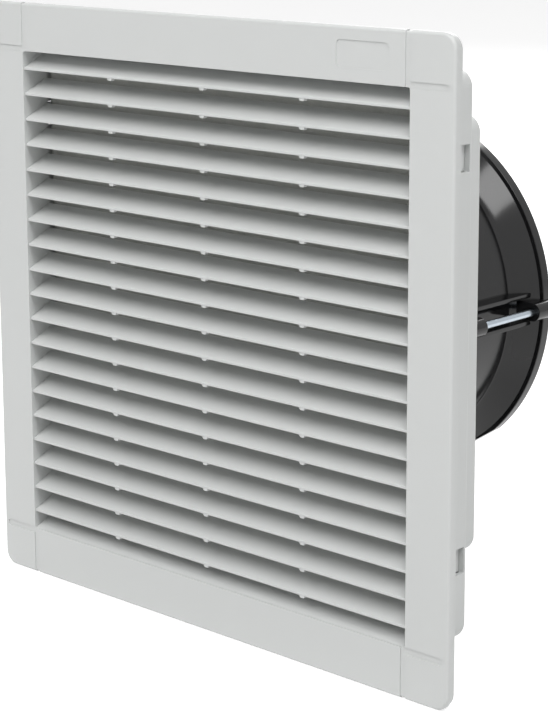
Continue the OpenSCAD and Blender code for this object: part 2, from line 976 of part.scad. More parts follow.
module stator_core() {
    pole_w = stator_r * 0.2;
    color("#6e7277")
    difference() {
        union() {
            rod(tube_r + yoke_t, stack_y, stack_len);
            for (i = [0:pole_count - 1]) {
                rotate([0, i * 360 / pole_count, 0])
                translate([tube_r + bond, stack_y, -pole_w / 2])
                cube([yoke_t + pole_len, stack_len, pole_w]);
            }
            intersection() {
                difference() {
                    rod(stator_r, stack_y, stack_len);
                    rod(stator_r - shoe_t, stack_y - cut, stack_len + 2 * cut);
                }
                for (i = [0:pole_count - 1]) {
                    rotate([0, i * 360 / pole_count, 0])
                    translate([stator_r / 2, stack_y, -pole_w * 0.95])
                    cube([stator_r, stack_len, pole_w * 1.9]);
                }
            }
        }
        rod(tube_r, stack_y - cut, stack_len + 2 * cut);
    }
}

// One wound frame round a pole; grow sets its wall, skin its distance from the pole
module pole_frame(skin, grow, in_r, out_r) {
    pole_w = stator_r * 0.2;
    for (i = [0:pole_count - 1]) {
        rotate([0, i * 360 / pole_count, 0])
        difference() {
            translate([in_r, stack_y - skin - grow, -pole_w / 2 - skin - grow])
            cube([out_r - in_r, stack_len + 2 * (skin + grow), pole_w + 2 * (skin + grow)]);
            translate([in_r - cut, stack_y - skin, -pole_w / 2 - skin])
            cube([out_r - in_r + 2 * cut, stack_len + 2 * skin, pole_w + 2 * skin]);
        }
    }
}

coil_in = tube_r + 2 * yoke_t;
coil_out = stator_r - shoe_t - 4 * bond;
bobbin_skin = 0.6;
coil_wall = 1.7;

module stator_bobbins() {
    color("#d9d4c0")
    pole_frame(0, bobbin_skin, coil_in, coil_out);
}

module stator_windings() {
    color("#b06a35")
    pole_frame(bobbin_skin, coil_wall, coil_in + bond, coil_out - bond);
}

module bearing(y0) {
    color("#c6c9cd")
    difference() {
        rod(bearing_r, y0, bearing_w);
        rod(shaft_r + shaft_run, y0 - cut, bearing_w + 2 * cut);
        turned()
        translate([(bearing_r + shaft_r) / 2 - can_t, y0 - cut])
        square([2 * can_t, cut + bond]);
    }
}

module bearing_front() {
    bearing(bearing_y1);
}

module bearing_rear() {
    bearing(bearing_y2);
}

module preload_spring() {
    color("#55585c")
    difference() {
        rod(bearing_r - bond, bearing_y2 - can_t, can_t);
        rod(shaft_r + can_t, bearing_y2 - can_t - cut, can_t + 2 * cut);
    }
}

module rating_label() {
    color("#c9cbcc")
    difference() {
        rod(tube_r + bond, plate_y + plate_t, bond);
        rod(shaft_r + 2 * can_t, plate_y, 2 * plate_t);
    }
}

// Terminal block on the ledge at the lower left of the rear
module terminal_block() {
    color("#d8d9d6")
    difference() {
        translate([term_x - term_w / 2, term_y, -term_drop - term_h / 2])
        cube([term_w, term_d, term_h]);
        for (i = [-1, 0, 1]) {
            translate([term_x - term_w / 2 - cut, term_y + term_d * 0.35, -term_drop + i * term_pole])
            rotate([0, 90, 0])
            cylinder(r = entry_r, h = entry_len + cut, $fn = 48);
            translate([term_x, 0, -term_drop + i * term_pole])
            rod(head_r * 0.8, term_y + term_d * 0.58, term_d);
            translate([term_x + term_w / 2 - 2 * entry_r, term_y + term_d * 0.35, -term_drop + i * term_pole])
            rotate([0, 90, 0])
            cylinder(r = inner_entry_r, h = 3 * entry_r, $fn = 48);
            translate([term_x - term_w / 2 + entry_len - bond, term_y + term_d * 0.15,
                -term_drop + i * term_pole - entry_r * 1.3])
            cube([term_w - entry_len - entry_r, term_d * 0.46, entry_r * 2.6]);
        }
        at_term_fix()
        rod(fix_r, term_y - cut, term_d + 2 * cut);
    }
}

module terminal_clamps() {
    color("#c2a45a")
    for (i = [-1, 0, 1]) {
        translate([term_x - term_w / 2 + entry_len, term_y + term_d * 0.15,
            -term_drop + i * term_pole - entry_r * 1.3])
        cube([term_w - entry_len - entry_r - bond, term_d * 0.43, entry_r * 2.6]);
    }
}

module terminal_screws() {
    color(steel)
    difference() {
        for (i = [-1, 0, 1]) {
            translate([term_x, 0, -term_drop + i * term_pole])
            rod(head_r * 0.7, term_y + term_d * 0.58, term_d * 0.25);
        }
        for (i = [-1, 0, 1]) {
            translate([term_x - head_r, term_y + term_d * 0.8, -term_drop + i * term_pole - screw_r / 4])
            cube([2 * head_r, term_d, screw_r / 2]);
        }
    }
}

module terminal_fixings() {
    color(steel)
    at_term_fix() {
        rod(fix_r, term_y - wall, term_d + wall + bond);
        rod(entry_r, term_y + term_d, fix_r);
    }
}

// Leads, swept along a route with a round section of 8 sides
function unit(v) = v / norm(v);

function smooth_route(p, n) = [for (i = [0:len(p) - 2]) for (k = [0:n - 1])
    let (t = k / n,
         a = p[max(i - 1, 0)], b = p[i], c = p[i + 1], d = p[min(i + 2, len(p) - 1)])
    0.5 * (2 * b + (c - a) * t + (2 * a - 5 * b + 4 * c - d) * t * t
        + (3 * b - a - 3 * c + d) * t * t * t)];

module lead(route, r) {
    sides = 8;
    p = concat(smooth_route(route, 3), [route[len(route) - 1]]);
    n = len(p);
    points = [for (i = [0:n - 1])
        let (t = unit(p[min(i + 1, n - 1)] - p[max(i - 1, 0)]),
             u = unit(cross(t, abs(t[1]) > 0.9 ? [1, 0, 0] : [0, 1, 0])),
             v = cross(t, u))
        for (k = [0:sides - 1]) p[i] + r * (cos(360 * k / sides) * u + sin(360 * k / sides) * v)];
    faces = concat(
        [[for (k = [0:sides - 1]) k]],
        [for (i = [0:n - 2]) for (k = [0:sides - 1])
            [i * sides + k, (i + 1) * sides + k, i * sides + (k + 1) % sides]],
        [for (i = [0:n - 2]) for (k = [0:sides - 1])
            [(i + 1) * sides + k, (i + 1) * sides + (k + 1) % sides, i * sides + (k + 1) % sides]],
        [[for (k = [sides - 1:-1:0]) (n - 1) * sides + k]]);
    polyhedron(points = points, faces = faces);
}

lead_route = [[-12.7, 149.2, -12.7], [-14.1, 152.4, -14.1], [-16.1, 155, -16.1], [-18.5, 156.7, -18.5],
    [-21.2, 157.5, -21.2], [-25.5, 157.5, -25.5], [-34.8, 157.4, -34.8], [-43.8, 157.4, -43.8],
    [-52.3, 158.4, -52.3], [-59.4, 160.4, -59.4], [-65.8, 161.4, -65.8], [-71.4, 160.8, -71.4],
    [-76.1, 157.6, -76.1], [-79.2, 152, -79.2], [-80.6, 144, -80.6], [-82, 132, -80.4],
    [-87, 118, -79.6], [-96, 104, -78], [-107, 93, -76], [-115.5, 84, -72.5], [-119.5, 76, -69.8],
    [-120, 71, -69], [-120, 66, -69]];
lower_route = [[-120, 65.9, -70], [-120, 63.9, -70], [-119.5, 59, -70.7], [-117.2, 53.5, -72.2],
    [-115, 48.5, -73.1], [-114.3, 44.6, -73.3], [-115.2, 41.2, -73.3], [-117.6, 39.95, -73.3],
    [-119.2, 39.95, -73.3], [-120.9, 39.95, -73.3]];
middle_route = [[-120, 65.9, -68], [-120, 63.9, -68], [-119.5, 59, -66.8], [-117.2, 53.5, -64.2],
    [-115, 48.5, -62.5], [-114.3, 44.6, -62], [-115.2, 41.2, -62], [-117.6, 39.95, -62],
    [-119.2, 39.95, -62], [-120.9, 39.95, -62]];
earth_route = [[-120.9, 39.95, -50.7], [-119.2, 39.95, -50.7], [-117.6, 39.95, -50.7],
    [-114.9, 41.5, -50.6], [-113.9, 45, -50.3], [-113.9, 52, -49.2], [-114, 60, -47.2],
    [-114.1, 68, -44.6], [-114.2, 74.8, -41.6], [-113.35, 78.2, -41.2], [-111, 80.7, -40.4],
    [-107.8, 81.6, -39.2], [-101, 81.6, -36.8], [-93.1, 81.6, -33.9]];

module motor_lead() {
    color("#303236")
    lead(lead_route, lead_r);
}

module core_lower() {
    color("#5a3a22")
    lead(lower_route, core_r);
}

module core_middle() {
    color("#2b4f8c")
    lead(middle_route, core_r);
}

module earth_lead() {
    color("#7fae3c")
    lead(earth_route, earth_r);
}

// Saddle that holds the motor lead down on its strut
module lead_clip() {
    saddle_r = lead_r + washer_t;
    color(black)
    rotate([0, 135, 0])
    translate([screw_ring_r / 2, 0, 0])
    difference() {
        translate([0, lead_y, 0])
        rotate([0, 90, 0])
        difference() {
            cylinder(r = saddle_r, h = strut_w, center = true);
            cylinder(r = lead_r + bond / 2, h = 2 * strut_w, center = true);
        }
        translate([-strut_w, lead_y - 3 * saddle_r, -saddle_r])
        cube([2 * strut_w, 3 * saddle_r - lead_r - cut, 2 * saddle_r]);
    }
}

module earth_screw() {
    color(steel)
    at_earth() {
        rod(earth_screw_r, fan_y + bond, fan_flange_t + tag_t + bond);
        rod(2 * earth_screw_r, fan_y + fan_flange_t + tag_t, screw_r);
    }
}

// Ring tag under the earth screw, with the barrel that grips the lead
module earth_tag() {
    tag_r = 2.2 * earth_screw_r;
    seat = fan_y + fan_flange_t;
    color("#c2a45a")
    at_earth() {
        difference() {
            rod(tag_r, seat, tag_t);
            rod(earth_screw_r, seat - cut, tag_t + 2 * cut);
        }
        translate([2.1 * earth_screw_r, seat + earth_r + tag_t / 2, 0])
        rotate([0, 90, 0])
        cylinder(r = earth_r + tag_t / 2, h = tag_len - 2.1 * earth_screw_r, $fn = 48);
    }
}

front_cover();
louvre_grille();
filter_mat();
base_frame();
panel_seal();
mat_grid();
clip_right_top();
clip_right_bottom();
clip_left_top();
clip_left_bottom();
fan_housing();
outlet_flare();
motor_bracket();
finger_guard();
fan_screws();
fan_washers();
fan_nuts();
impeller();
rotor_can();
rotor_cage();
shaft();
shaft_clip();
stator_core();
stator_bobbins();
stator_windings();
bearing_front();
bearing_rear();
preload_spring();
terminal_block();
terminal_clamps();
terminal_screws();
terminal_fixings();
motor_lead();
core_lower();
core_middle();
lead_clip();
earth_lead();
earth_tag();
earth_screw();
rating_label();
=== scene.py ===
from math import cos, pi, radians, sin, sqrt

import bpy
from mathutils import Matrix, Vector


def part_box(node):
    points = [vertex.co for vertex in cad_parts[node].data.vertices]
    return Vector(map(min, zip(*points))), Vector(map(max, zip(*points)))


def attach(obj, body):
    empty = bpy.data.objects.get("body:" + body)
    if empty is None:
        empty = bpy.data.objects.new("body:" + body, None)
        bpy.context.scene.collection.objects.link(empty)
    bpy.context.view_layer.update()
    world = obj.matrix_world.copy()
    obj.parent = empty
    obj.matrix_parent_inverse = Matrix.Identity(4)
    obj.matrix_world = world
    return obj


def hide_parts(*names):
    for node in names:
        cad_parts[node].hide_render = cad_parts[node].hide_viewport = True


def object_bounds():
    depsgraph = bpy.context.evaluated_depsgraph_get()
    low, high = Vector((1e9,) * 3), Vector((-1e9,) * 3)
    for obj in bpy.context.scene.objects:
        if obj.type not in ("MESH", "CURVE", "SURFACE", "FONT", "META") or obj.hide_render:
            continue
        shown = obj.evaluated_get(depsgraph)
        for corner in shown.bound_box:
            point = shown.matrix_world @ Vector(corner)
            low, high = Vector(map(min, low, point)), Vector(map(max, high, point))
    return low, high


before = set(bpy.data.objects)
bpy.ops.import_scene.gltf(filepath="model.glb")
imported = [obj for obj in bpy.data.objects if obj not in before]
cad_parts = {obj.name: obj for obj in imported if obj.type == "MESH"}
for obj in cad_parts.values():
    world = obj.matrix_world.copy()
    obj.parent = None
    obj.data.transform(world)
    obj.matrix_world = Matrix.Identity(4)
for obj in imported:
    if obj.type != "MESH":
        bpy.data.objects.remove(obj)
cad_low, cad_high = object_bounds()

# Camera
# It stands where the picture was taken from, to the right of the fan and a little above it.
# The shift keeps the upright edges of the housing nearly upright.
mm = 0.001
lens = 101.792
shift_x = -0.05
shift_y = -0.15
camera_place = Vector((711.64, -719.22, 235.4)) * mm
camera_pitch = -10.929
camera_turn = 41.821
camera = bpy.data.objects.new("camera", bpy.data.cameras.new("camera"))
bpy.context.scene.collection.objects.link(camera)
bpy.context.scene.camera = camera
camera.data.lens = lens
camera.data.shift_x = shift_x
camera.data.shift_y = shift_y
camera.location = camera_place
camera.rotation_euler = (radians(90 + camera_pitch), 0, radians(camera_turn))

# Leads of the motor
# A round black rubber sheath runs from the motor plate along a strut and down to the terminal
# block, where its brown and blue cores come out. The earth lead joins the block to the fan's
# front flange.


def link(material, source, target):
    material.node_tree.links.new(source, target)


def new_node(material, kind, **settings):
    node = material.node_tree.nodes.new(kind)
    for name, value in settings.items():
        setattr(node, name, value)
    return node


mix_first, mix_second, mix_result = 6, 7, 2
noise_low, noise_high = 0.3, 0.7
grain_depth = 0.06 * mm


def finish(name, colour, rough, metal=0.0, tint=0.05, patch=60.0, spread=0.1, grain=1500.0,
           bump=0.12, depth=grain_depth, stretch=(1, 1, 1), specular=0.5):
    """A material with drifting colour, a roughness that varies and a fine surface grain.

    patch and grain are the two patterns' scales per metre, and tint is how far the colour drifts.
    spread is how far the roughness varies, and stretch scales both patterns along each axis.
    """
    material = bpy.data.materials.new(name)
    material.use_nodes = True
    shader = material.node_tree.nodes["Principled BSDF"]
    shader.inputs["Metallic"].default_value = metal
    shader.inputs["Specular IOR Level"].default_value = specular
    place = new_node(material, "ShaderNodeTexCoord")
    aimed = new_node(material, "ShaderNodeMapping")
    aimed.inputs["Scale"].default_value = stretch
    link(material, place.outputs["Object"], aimed.inputs["Vector"])

    patches = new_node(material, "ShaderNodeTexNoise")
    patches.inputs["Scale"].default_value = patch
    patches.inputs["Detail"].default_value = 3
    link(material, aimed.outputs["Vector"], patches.inputs["Vector"])
    colours = new_node(material, "ShaderNodeMix", data_type="RGBA")
    colours.inputs[mix_first].default_value = [c * (1 - tint) for c in colour] + [1]
    colours.inputs[mix_second].default_value = [min(1, c * (1 + tint)) for c in colour] + [1]
    link(material, patches.outputs["Fac"], colours.inputs["Factor"])
    link(material, colours.outputs[mix_result], shader.inputs["Base Color"])

    grains = new_node(material, "ShaderNodeTexNoise")
    grains.inputs["Scale"].default_value = grain
    grains.inputs["Detail"].default_value = 4
    link(material, aimed.outputs["Vector"], grains.inputs["Vector"])
    range_of = new_node(material, "ShaderNodeMapRange")
    range_of.inputs["From Min"].default_value = noise_low
    range_of.inputs["From Max"].default_value = noise_high
    range_of.inputs["To Min"].default_value = rough - spread / 2
    range_of.inputs["To Max"].default_value = rough + spread / 2
    link(material, patches.outputs["Fac"], range_of.inputs["Value"])
    link(material, range_of.outputs["Result"], shader.inputs["Roughness"])
    relief = new_node(material, "ShaderNodeBump")
    relief.inputs["Strength"].default_value = bump
    relief.inputs["Distance"].default_value = depth
    link(material, grains.outputs["Fac"], relief.inputs["Height"])
    link(material, relief.outputs["Normal"], shader.inputs["Normal"])
    return material


def in_place(piece, name, body, slot, material, *replaced):
    """Names a finished piece, gives it its material and body, and hides its CAD nodes. The slot is
    not used.
    """
    piece.name = name
    piece.data.name = name
    piece.data.materials.clear()
    piece.data.materials.append(material)
    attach(piece, body)
    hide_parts(*replaced)


def lead(name, route, radius, material, slot, node):
    """A round flexible lead along its route, as a bevelled curve of one spline."""
    curve = bpy.data.curves.new(name, "CURVE")
    curve.dimensions = "3D"
    curve.bevel_depth = radius
    curve.bevel_resolution = 5
    curve.resolution_u = 8
    curve.use_fill_caps = True
    line = curve.splines.new("BEZIER")
    line.bezier_points.add(len(route) - 1)
    for point, place in zip(line.bezier_points, route):
        point.co = Vector(place) * mm
        point.handle_left_type = "AUTO"
        point.handle_right_type = "AUTO"
    piece = bpy.data.objects.new(name, curve)
    bpy.context.scene.collection.objects.link(piece)
    in_place(piece, name, "mounting_base", slot, material, node)


lead_route = [[-12.7, 149.2, -12.7], [-14.1, 152.4, -14.1], [-16.1, 155, -16.1],
              [-18.5, 156.7, -18.5], [-21.2, 157.5, -21.2], [-25.5, 157.5, -25.5],
              [-34.8, 157.4, -34.8], [-43.8, 157.4, -43.8], [-52.3, 158.4, -52.3],
              [-59.4, 160.4, -59.4], [-65.8, 161.4, -65.8], [-71.4, 160.8, -71.4],
              [-76.1, 157.6, -76.1], [-79.2, 152, -79.2], [-80.6, 144, -80.6],
              [-82, 132, -80.4], [-87, 118, -79.6], [-96, 104, -78], [-107, 93, -76],
              [-115.5, 84, -72.5], [-119.5, 76, -69.8], [-120, 71, -69], [-120, 66, -69]]
lower_route = [[-120, 65.9, -70], [-120, 63.9, -70], [-119.5, 59, -70.7], [-117.2, 53.5, -72.2],
               [-115, 48.5, -73.1], [-114.3, 44.6, -73.3], [-115.2, 41.2, -73.3],
               [-117.6, 39.95, -73.3], [-119.2, 39.95, -73.3], [-120.9, 39.95, -73.3]]
middle_route = [[-120, 65.9, -68], [-120, 63.9, -68], [-119.5, 59, -66.8], [-117.2, 53.5, -64.2],
                [-115, 48.5, -62.5], [-114.3, 44.6, -62], [-115.2, 41.2, -62],
                [-117.6, 39.95, -62], [-119.2, 39.95, -62], [-120.9, 39.95, -62]]
earth_route = [[-120.9, 39.95, -50.7], [-119.2, 39.95, -50.7], [-117.6, 39.95, -50.7],
               [-114.9, 41.5, -50.6], [-113.9, 45, -50.3], [-113.9, 52, -49.2], [-114, 60, -47.2],
               [-114.1, 68, -44.6], [-114.2, 74.8, -41.6], [-113.35, 78.2, -41.2],
               [-111, 80.7, -40.4], [-107.8, 81.6, -39.2], [-101, 81.6, -36.8],
               [-93.1, 81.6, -33.9]]
sheath_radius, sheath_length = 2.4 * mm, 0.222
core_radius, lower_length, middle_length = 0.9 * mm, 0.033, 0.034
earth_radius, earth_length = 1.2 * mm, 0.071
stripe_share = 0.4
sheath_rubber = finish("sheath_rubber", (0.028, 0.028, 0.03), 0.5, grain=2500, bump=0.2)
core_brown = finish("core_brown_pvc", (0.16, 0.07, 0.03), 0.42, grain=3000)
core_blue = finish("core_blue_pvc", (0.04, 0.12, 0.38), 0.42, grain=3000)
earth_pvc = finish("earth_pvc", (0.12, 0.36, 0.06), 0.42, grain=3000)

# The earth lead's yellow stripe runs along its green insulation
green = [n for n in earth_pvc.node_tree.nodes if n.type == "MIX"][0]
around = new_node(earth_pvc, "ShaderNodeTexCoord")
parts_of = new_node(earth_pvc, "ShaderNodeSeparateXYZ")
stripe = new_node(earth_pvc, "ShaderNodeMath", operation="LESS_THAN")
stripe.inputs[1].default_value = stripe_share
striped = new_node(earth_pvc, "ShaderNodeMix", data_type="RGBA")
striped.inputs[mix_second].default_value = (0.75, 0.62, 0.05, 1)
link(earth_pvc, around.outputs["UV"], parts_of.inputs["Vector"])
link(earth_pvc, parts_of.outputs["Y"], stripe.inputs[0])
link(earth_pvc, stripe.outputs["Value"], striped.inputs["Factor"])
link(earth_pvc, green.outputs[mix_result], striped.inputs[mix_first])
link(earth_pvc, striped.outputs[mix_result],
     earth_pvc.node_tree.nodes["Principled BSDF"].inputs["Base Color"])

lead("motor_lead_sheath", lead_route, sheath_radius, sheath_rubber, "lead_sheath", "motor_lead")
lead("core_to_lower_pole", lower_route, core_radius, core_brown, "core_brown", "core_lower")
lead("core_to_middle_pole", middle_route, core_radius, core_blue, "core_blue", "core_middle")
lead("earth_lead_run", earth_route, earth_radius, earth_pvc, "earth_sheath", "earth_lead")

# Front cover and louvres
# One moulding of light grey ABS: a square plate with a rounded front edge and shallow grooves that
# set off its corners, a window full of slanted slats, and a skirt whose snap tongues hold it in
# the mounting base.


def block(low, high):
    """A box between two corners, with its place in its mesh."""
    low, high = Vector(low), Vector(high)
    bpy.ops.object.select_all(action="DESELECT")
    bpy.ops.mesh.primitive_cube_add(size=1, location=(low + high) / 2, scale=high - low)
    bpy.ops.object.transform_apply(location=True, rotation=True, scale=True)
    return bpy.context.object


def alone(piece):
    """Selects one piece and nothing else."""
    bpy.ops.object.select_all(action="DESELECT")
    piece.select_set(True)
    bpy.context.view_layer.objects.active = piece


def pick(piece, mode, wanted):
    """Goes into edit mode with only the edges or faces that wanted() says yes to."""
    alone(piece)
    mesh = piece.data
    for items in (mesh.vertices, mesh.edges, mesh.polygons):
        items.foreach_set("select", [False] * len(items))
    items = mesh.edges if mode == "EDGE" else mesh.polygons
    for item in items:
        item.select = wanted([mesh.vertices[v].co for v in item.vertices])
    bpy.context.tool_settings.mesh_select_mode = (False, mode == "EDGE", mode == "FACE")
    bpy.ops.object.mode_set(mode="EDIT")


def done():
    bpy.ops.object.mode_set(mode="OBJECT")


def slab(half, corner, front, back, segments):
    """A square plate across Y with rounded corners."""
    piece = block((-half, front, -half), (half, back, half))
    pick(piece, "EDGE", lambda ends: abs(ends[0].y - ends[1].y) > (back - front) / 2)
    bpy.ops.mesh.bevel(offset=corner, segments=segments, affect="EDGES")
    done()
    return piece


def worked(piece, kind, **settings):
    """Adds one modifier to a piece and applies it."""
    alone(piece)
    step = piece.modifiers.new(kind.lower(), kind)
    for name, value in settings.items():
        setattr(step, name, value)
    bpy.ops.object.modifier_apply(modifier=step.name)
    return piece


def combined(piece, operation, *others):
    """Cuts the others out of a piece, or fuses them to it."""
    for other in others:
        worked(piece, "BOOLEAN", operation=operation, object=other, solver="EXACT")
        bpy.data.objects.remove(other)
    return piece


def cut(piece, *cutters):
    return combined(piece, "DIFFERENCE", *cutters)


def fused(piece, *others):
    return combined(piece, "UNION", *others)


def merged(pieces):
    """Several shells that don't touch, as one object."""
    bpy.ops.object.select_all(action="DESELECT")
    for piece in pieces:
        piece.select_set(True)
    bpy.context.view_layer.objects.active = pieces[0]
    bpy.ops.object.join()
    return bpy.context.object


def copied(piece, matrix):
    """A copy with its own mesh, moved by a matrix."""
    twin = piece.copy()
    twin.data = piece.data.copy()
    bpy.context.scene.collection.objects.link(twin)
    twin.data.transform(matrix)
    return twin


def about_fan(*angles):
    """Turns about the fan's axis, for what stands at several places round it."""
    return [Matrix.Rotation(radians(a), 4, "Y") for a in angles]


def drawn_out(outline, axis, low, high):
    """A flat outline of two coordinates, extruded along an axis from low to high."""
    bpy.ops.object.select_all(action="DESELECT")
    bpy.ops.mesh.primitive_circle_add(vertices=len(outline), fill_type="NGON")
    piece = bpy.context.object
    along = "XYZ".index(axis)
    first, second = [k for k in range(3) if k != along]
    for vertex, (u, v) in zip(piece.data.vertices, outline):
        vertex.co[along] = low
        vertex.co[first] = u
        vertex.co[second] = v
    reach = [0, 0, 0]
    reach[along] = high - low
    pick(piece, "FACE", lambda ends: True)
    bpy.ops.mesh.extrude_region_move(TRANSFORM_OT_translate={"value": reach})
    bpy.ops.mesh.select_all(action="SELECT")
    bpy.ops.mesh.normals_make_consistent(inside=False)
    done()
    return piece


def eased(piece, width, angle=35, segments=2):
    """Breaks every sharp edge by a small width."""
    return worked(piece, "BEVEL", width=width, segments=segments, limit_method="ANGLE",
                  angle_limit=radians(angle), use_clamp_overlap=False)


def smoothed(piece, angle=35):
    """Shades round stretches smooth and keeps the flat faces flat."""
    alone(piece)
    bpy.ops.object.shade_smooth_by_angle(angle=radians(angle))
    return worked(piece, "WEIGHTED_NORMAL", keep_sharp=True)


cover_low, cover_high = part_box("front_cover")
grille_low, grille_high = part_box("louvre_grille")
front = cover_low.y
front_half = cover_high.x
field = grille_high.x
skirt_end = grille_high.y
cover_corner = 7.5 * mm
cover_plate = 3.4 * mm
cover_rounding = 1.6 * mm
cover_ease = 0.18 * mm
window_corner = 1.5 * mm
over = 1 * mm
near = over / 20
quarter_turns = about_fan(0, 90, 180, 270)


def plate(half, corner, front, back, rounding):
    """A square plate whose front edge is rounded."""
    piece = slab(half, corner, front, back, segments=14)
    pick(piece, "EDGE", lambda ends: max(p.y for p in ends) < front + near)
    bpy.ops.mesh.bevel(offset=rounding, segments=6, affect="EDGES")
    done()
    return piece


cover = plate(front_half, cover_corner, front, front + cover_plate, cover_rounding)

# Grooves, which run out over the plate's edge at top and bottom and end round at the sides. They
# are as deep on the rounded edge as on the flat, so what they leave is a smaller plate.
groove_width = 3.4 * mm
groove_depth = 0.5 * mm
groove_upright = field - groove_width / 3
groove_level = field + groove_width / 3
groove_run = front_half - 2 * cover_rounding
cut(cover, slab(field, window_corner, front - over, front + cover_plate + over, segments=5))
cutters = []
for sx in (-1, 1):
    for sz in (-1, 1):
        radius = groove_width / 2
        ends = sorted((sz * (groove_level - radius), sz * (front_half + over)))
        strip = block((sx * groove_upright - groove_width / 2, front - over, ends[0]),
                      (sx * groove_upright + groove_width / 2, front + cover_plate + over, ends[1]))
        cutters.append(cut(strip, plate(front_half - groove_depth, cover_corner - groove_depth,
                                        front + groove_depth, front + cover_plate + 2 * over,
                                        cover_rounding - groove_depth)))
        outline = [(sx * (groove_upright - radius), sz * groove_level - radius),
                   (sx * (groove_upright - radius), sz * groove_level + radius)]
        outline += [(sx * (groove_run - radius + radius * sin(radians(a))),
                     sz * groove_level + radius * cos(radians(a))) for a in range(0, 181, 15)]
        cutters.append(drawn_out(outline, "Y", front - over, front + groove_depth))

# The blank recess for a nameplate, in the top bar
recess_width = 32 * mm
recess_height = 13 * mm
recess_depth = 0.4 * mm
recess_corner = 2.6 * mm
recess_inset = 54.5 * mm
recess_x = front_half - recess_inset
recess_z = (field + front_half) / 2
recess = block((recess_x - recess_width / 2, front - over, recess_z - recess_height / 2),
               (recess_x + recess_width / 2, front + recess_depth, recess_z + recess_height / 2))
pick(recess, "EDGE", lambda ends: abs(ends[0].y - ends[1].y) > over / 2)
bpy.ops.mesh.bevel(offset=recess_corner, segments=6, affect="EDGES")
done()
cutters.append(recess)

# Skirt round the window, with snap tongues above and below and a finger on each side for the mat
skirt_wall = 1.8 * mm
tongue_wall = 1.1 * mm
tongue_width = 22 * mm
tongue_x = 0.6 * field
finger_width = 26 * mm
overlap = 0.2 * mm
skirt_front = front + cover_plate - overlap
skirt = slab(field + skirt_wall, window_corner + skirt_wall, skirt_front, skirt_end, segments=5)
cut(skirt, slab(field, window_corner, skirt_front - over, skirt_end + over, segments=5))
for sx in (-1, 1):
    for sz in (-1, 1):
        ends = sorted((sz * (field + skirt_wall - overlap),
                       sz * (field + skirt_wall + tongue_wall)))
        fused(skirt, block((sx * tongue_x - tongue_width / 2, skirt_front, ends[0]),
                           (sx * tongue_x + tongue_width / 2, skirt_end, ends[1])))
finger = block((field, skirt_end - overlap, -finger_width / 2),
               (field + skirt_wall, cover_high.y, finger_width / 2))
fused(skirt, *[copied(finger, turn) for turn in quarter_turns[1:]], finger)
fused(cover, skirt)
eased(cover, cover_ease)
cut(cover, *cutters)

# One slat with a rounded lip along its front edge, copied down the window, a nub in three places
# under every lip, and the sill at the window's foot that slopes as the slats do
slat_count = 19
slat_first = 10.2 * mm
slat_last = 9.4 * mm
slat_pitch = (2 * field - slat_first - slat_last) / (slat_count - 1)
slat_front = grille_low.y
slat_depth = 14.5 * mm
slat_rise = 6.8 * mm
slat_wall = 1.8 * mm
lip_height = 1.5 * mm
lip_depth = 1.3 * mm
lip_round = 0.35 * mm
nub_rows = 3
nub_width = 3.4 * mm
nub_foot = 2.2 * mm
nub_drop = 1.2 * mm
nub_depth = 2.6 * mm
slat_top = field - slat_first
lip = [(slat_front + lip_round - lip_round * cos(radians(a)),
        slat_top + lip_height - lip_round + lip_round * sin(radians(a))) for a in (0, 30, 60, 90)]
lip = [(slat_front + lip_round - lip_round * sin(radians(a)),
        slat_top + lip_round - lip_round * cos(radians(a))) for a in (0, 30, 60)] + lip
slat = drawn_out(lip + [(slat_front + slat_depth, slat_top + lip_height + slat_rise),
                        (slat_front + slat_depth, slat_top + lip_height + slat_rise - slat_wall),
                        (slat_front + lip_depth, slat_top)],
                 "X", -field - overlap, field + overlap)
slats = [copied(slat, Matrix.Translation((0, 0, -k * slat_pitch))) for k in range(1, slat_count)]
grille = merged([slat] + slats)
nub_top = slat_top + lip_height / 2
nub = drawn_out([(-nub_width / 2, nub_top), (-nub_width / 2, slat_top - nub_drop / 3),
                 (-nub_foot / 2, slat_top - nub_drop), (nub_foot / 2, slat_top - nub_drop),
                 (nub_width / 2, slat_top - nub_drop / 3), (nub_width / 2, nub_top)],
                "Y", slat_front + overlap, slat_front + nub_depth)
for k in range(nub_rows):
    x = -field + 2 * field * (k + 1) / (nub_rows + 1)
    fused(grille, merged([copied(nub, Matrix.Translation((x, 0, -row * slat_pitch)))
                          for row in range(slat_count)]))
bpy.data.objects.remove(nub)
sill_back = slat_front + slat_depth
sill = drawn_out([(front + over, -field - overlap), (front + over, -field + overlap),
                  (sill_back, slat_rise - field), (sill_back, -field - overlap)],
                 "X", -field - overlap, field + overlap)
fused(cover, grille, sill)
smoothed(cover)
grey = (0.60, 0.612, 0.605)
cover_plastic = finish("cover_plastic", grey, 0.42, tint=0.012, patch=25, grain=2600, bump=0.1)
in_place(cover, "front_cover_louvred", "cover", "cover_plastic", cover_plastic,
         "front_cover", "louvre_grille")

# Filter mat
# A thick pad of white synthetic fibre, loose and matted at the surface, that lies behind the
# louvres in the cover's skirt and comes off with it.
mat_low, mat_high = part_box("filter_mat")
mat_cells = 110
mat_skin = 0.2 * mm
tuft_size = 5 * mm
tuft_height = 1.6 * mm
bpy.ops.object.select_all(action="DESELECT")
bpy.ops.mesh.primitive_grid_add(x_subdivisions=mat_cells, y_subdivisions=mat_cells, size=2)
mat = bpy.context.object
for vertex in mat.data.vertices:
    vertex.co = (vertex.co.x * (mat_high.x - over / 2), mat_low.y + mat_skin,
                 vertex.co.y * (mat_high.z - over / 2))
pick(mat, "FACE", lambda ends: True)
bpy.ops.mesh.extrude_region_move(
    TRANSFORM_OT_translate={"value": (0, mat_high.y - mat_low.y - 2 * mat_skin, 0)})
bpy.ops.mesh.select_all(action="SELECT")
bpy.ops.mesh.normals_make_consistent(inside=False)
done()
tufts = bpy.data.textures.new("tufts", "CLOUDS")
tufts.noise_scale = tuft_size
tufts.noise_depth = 3
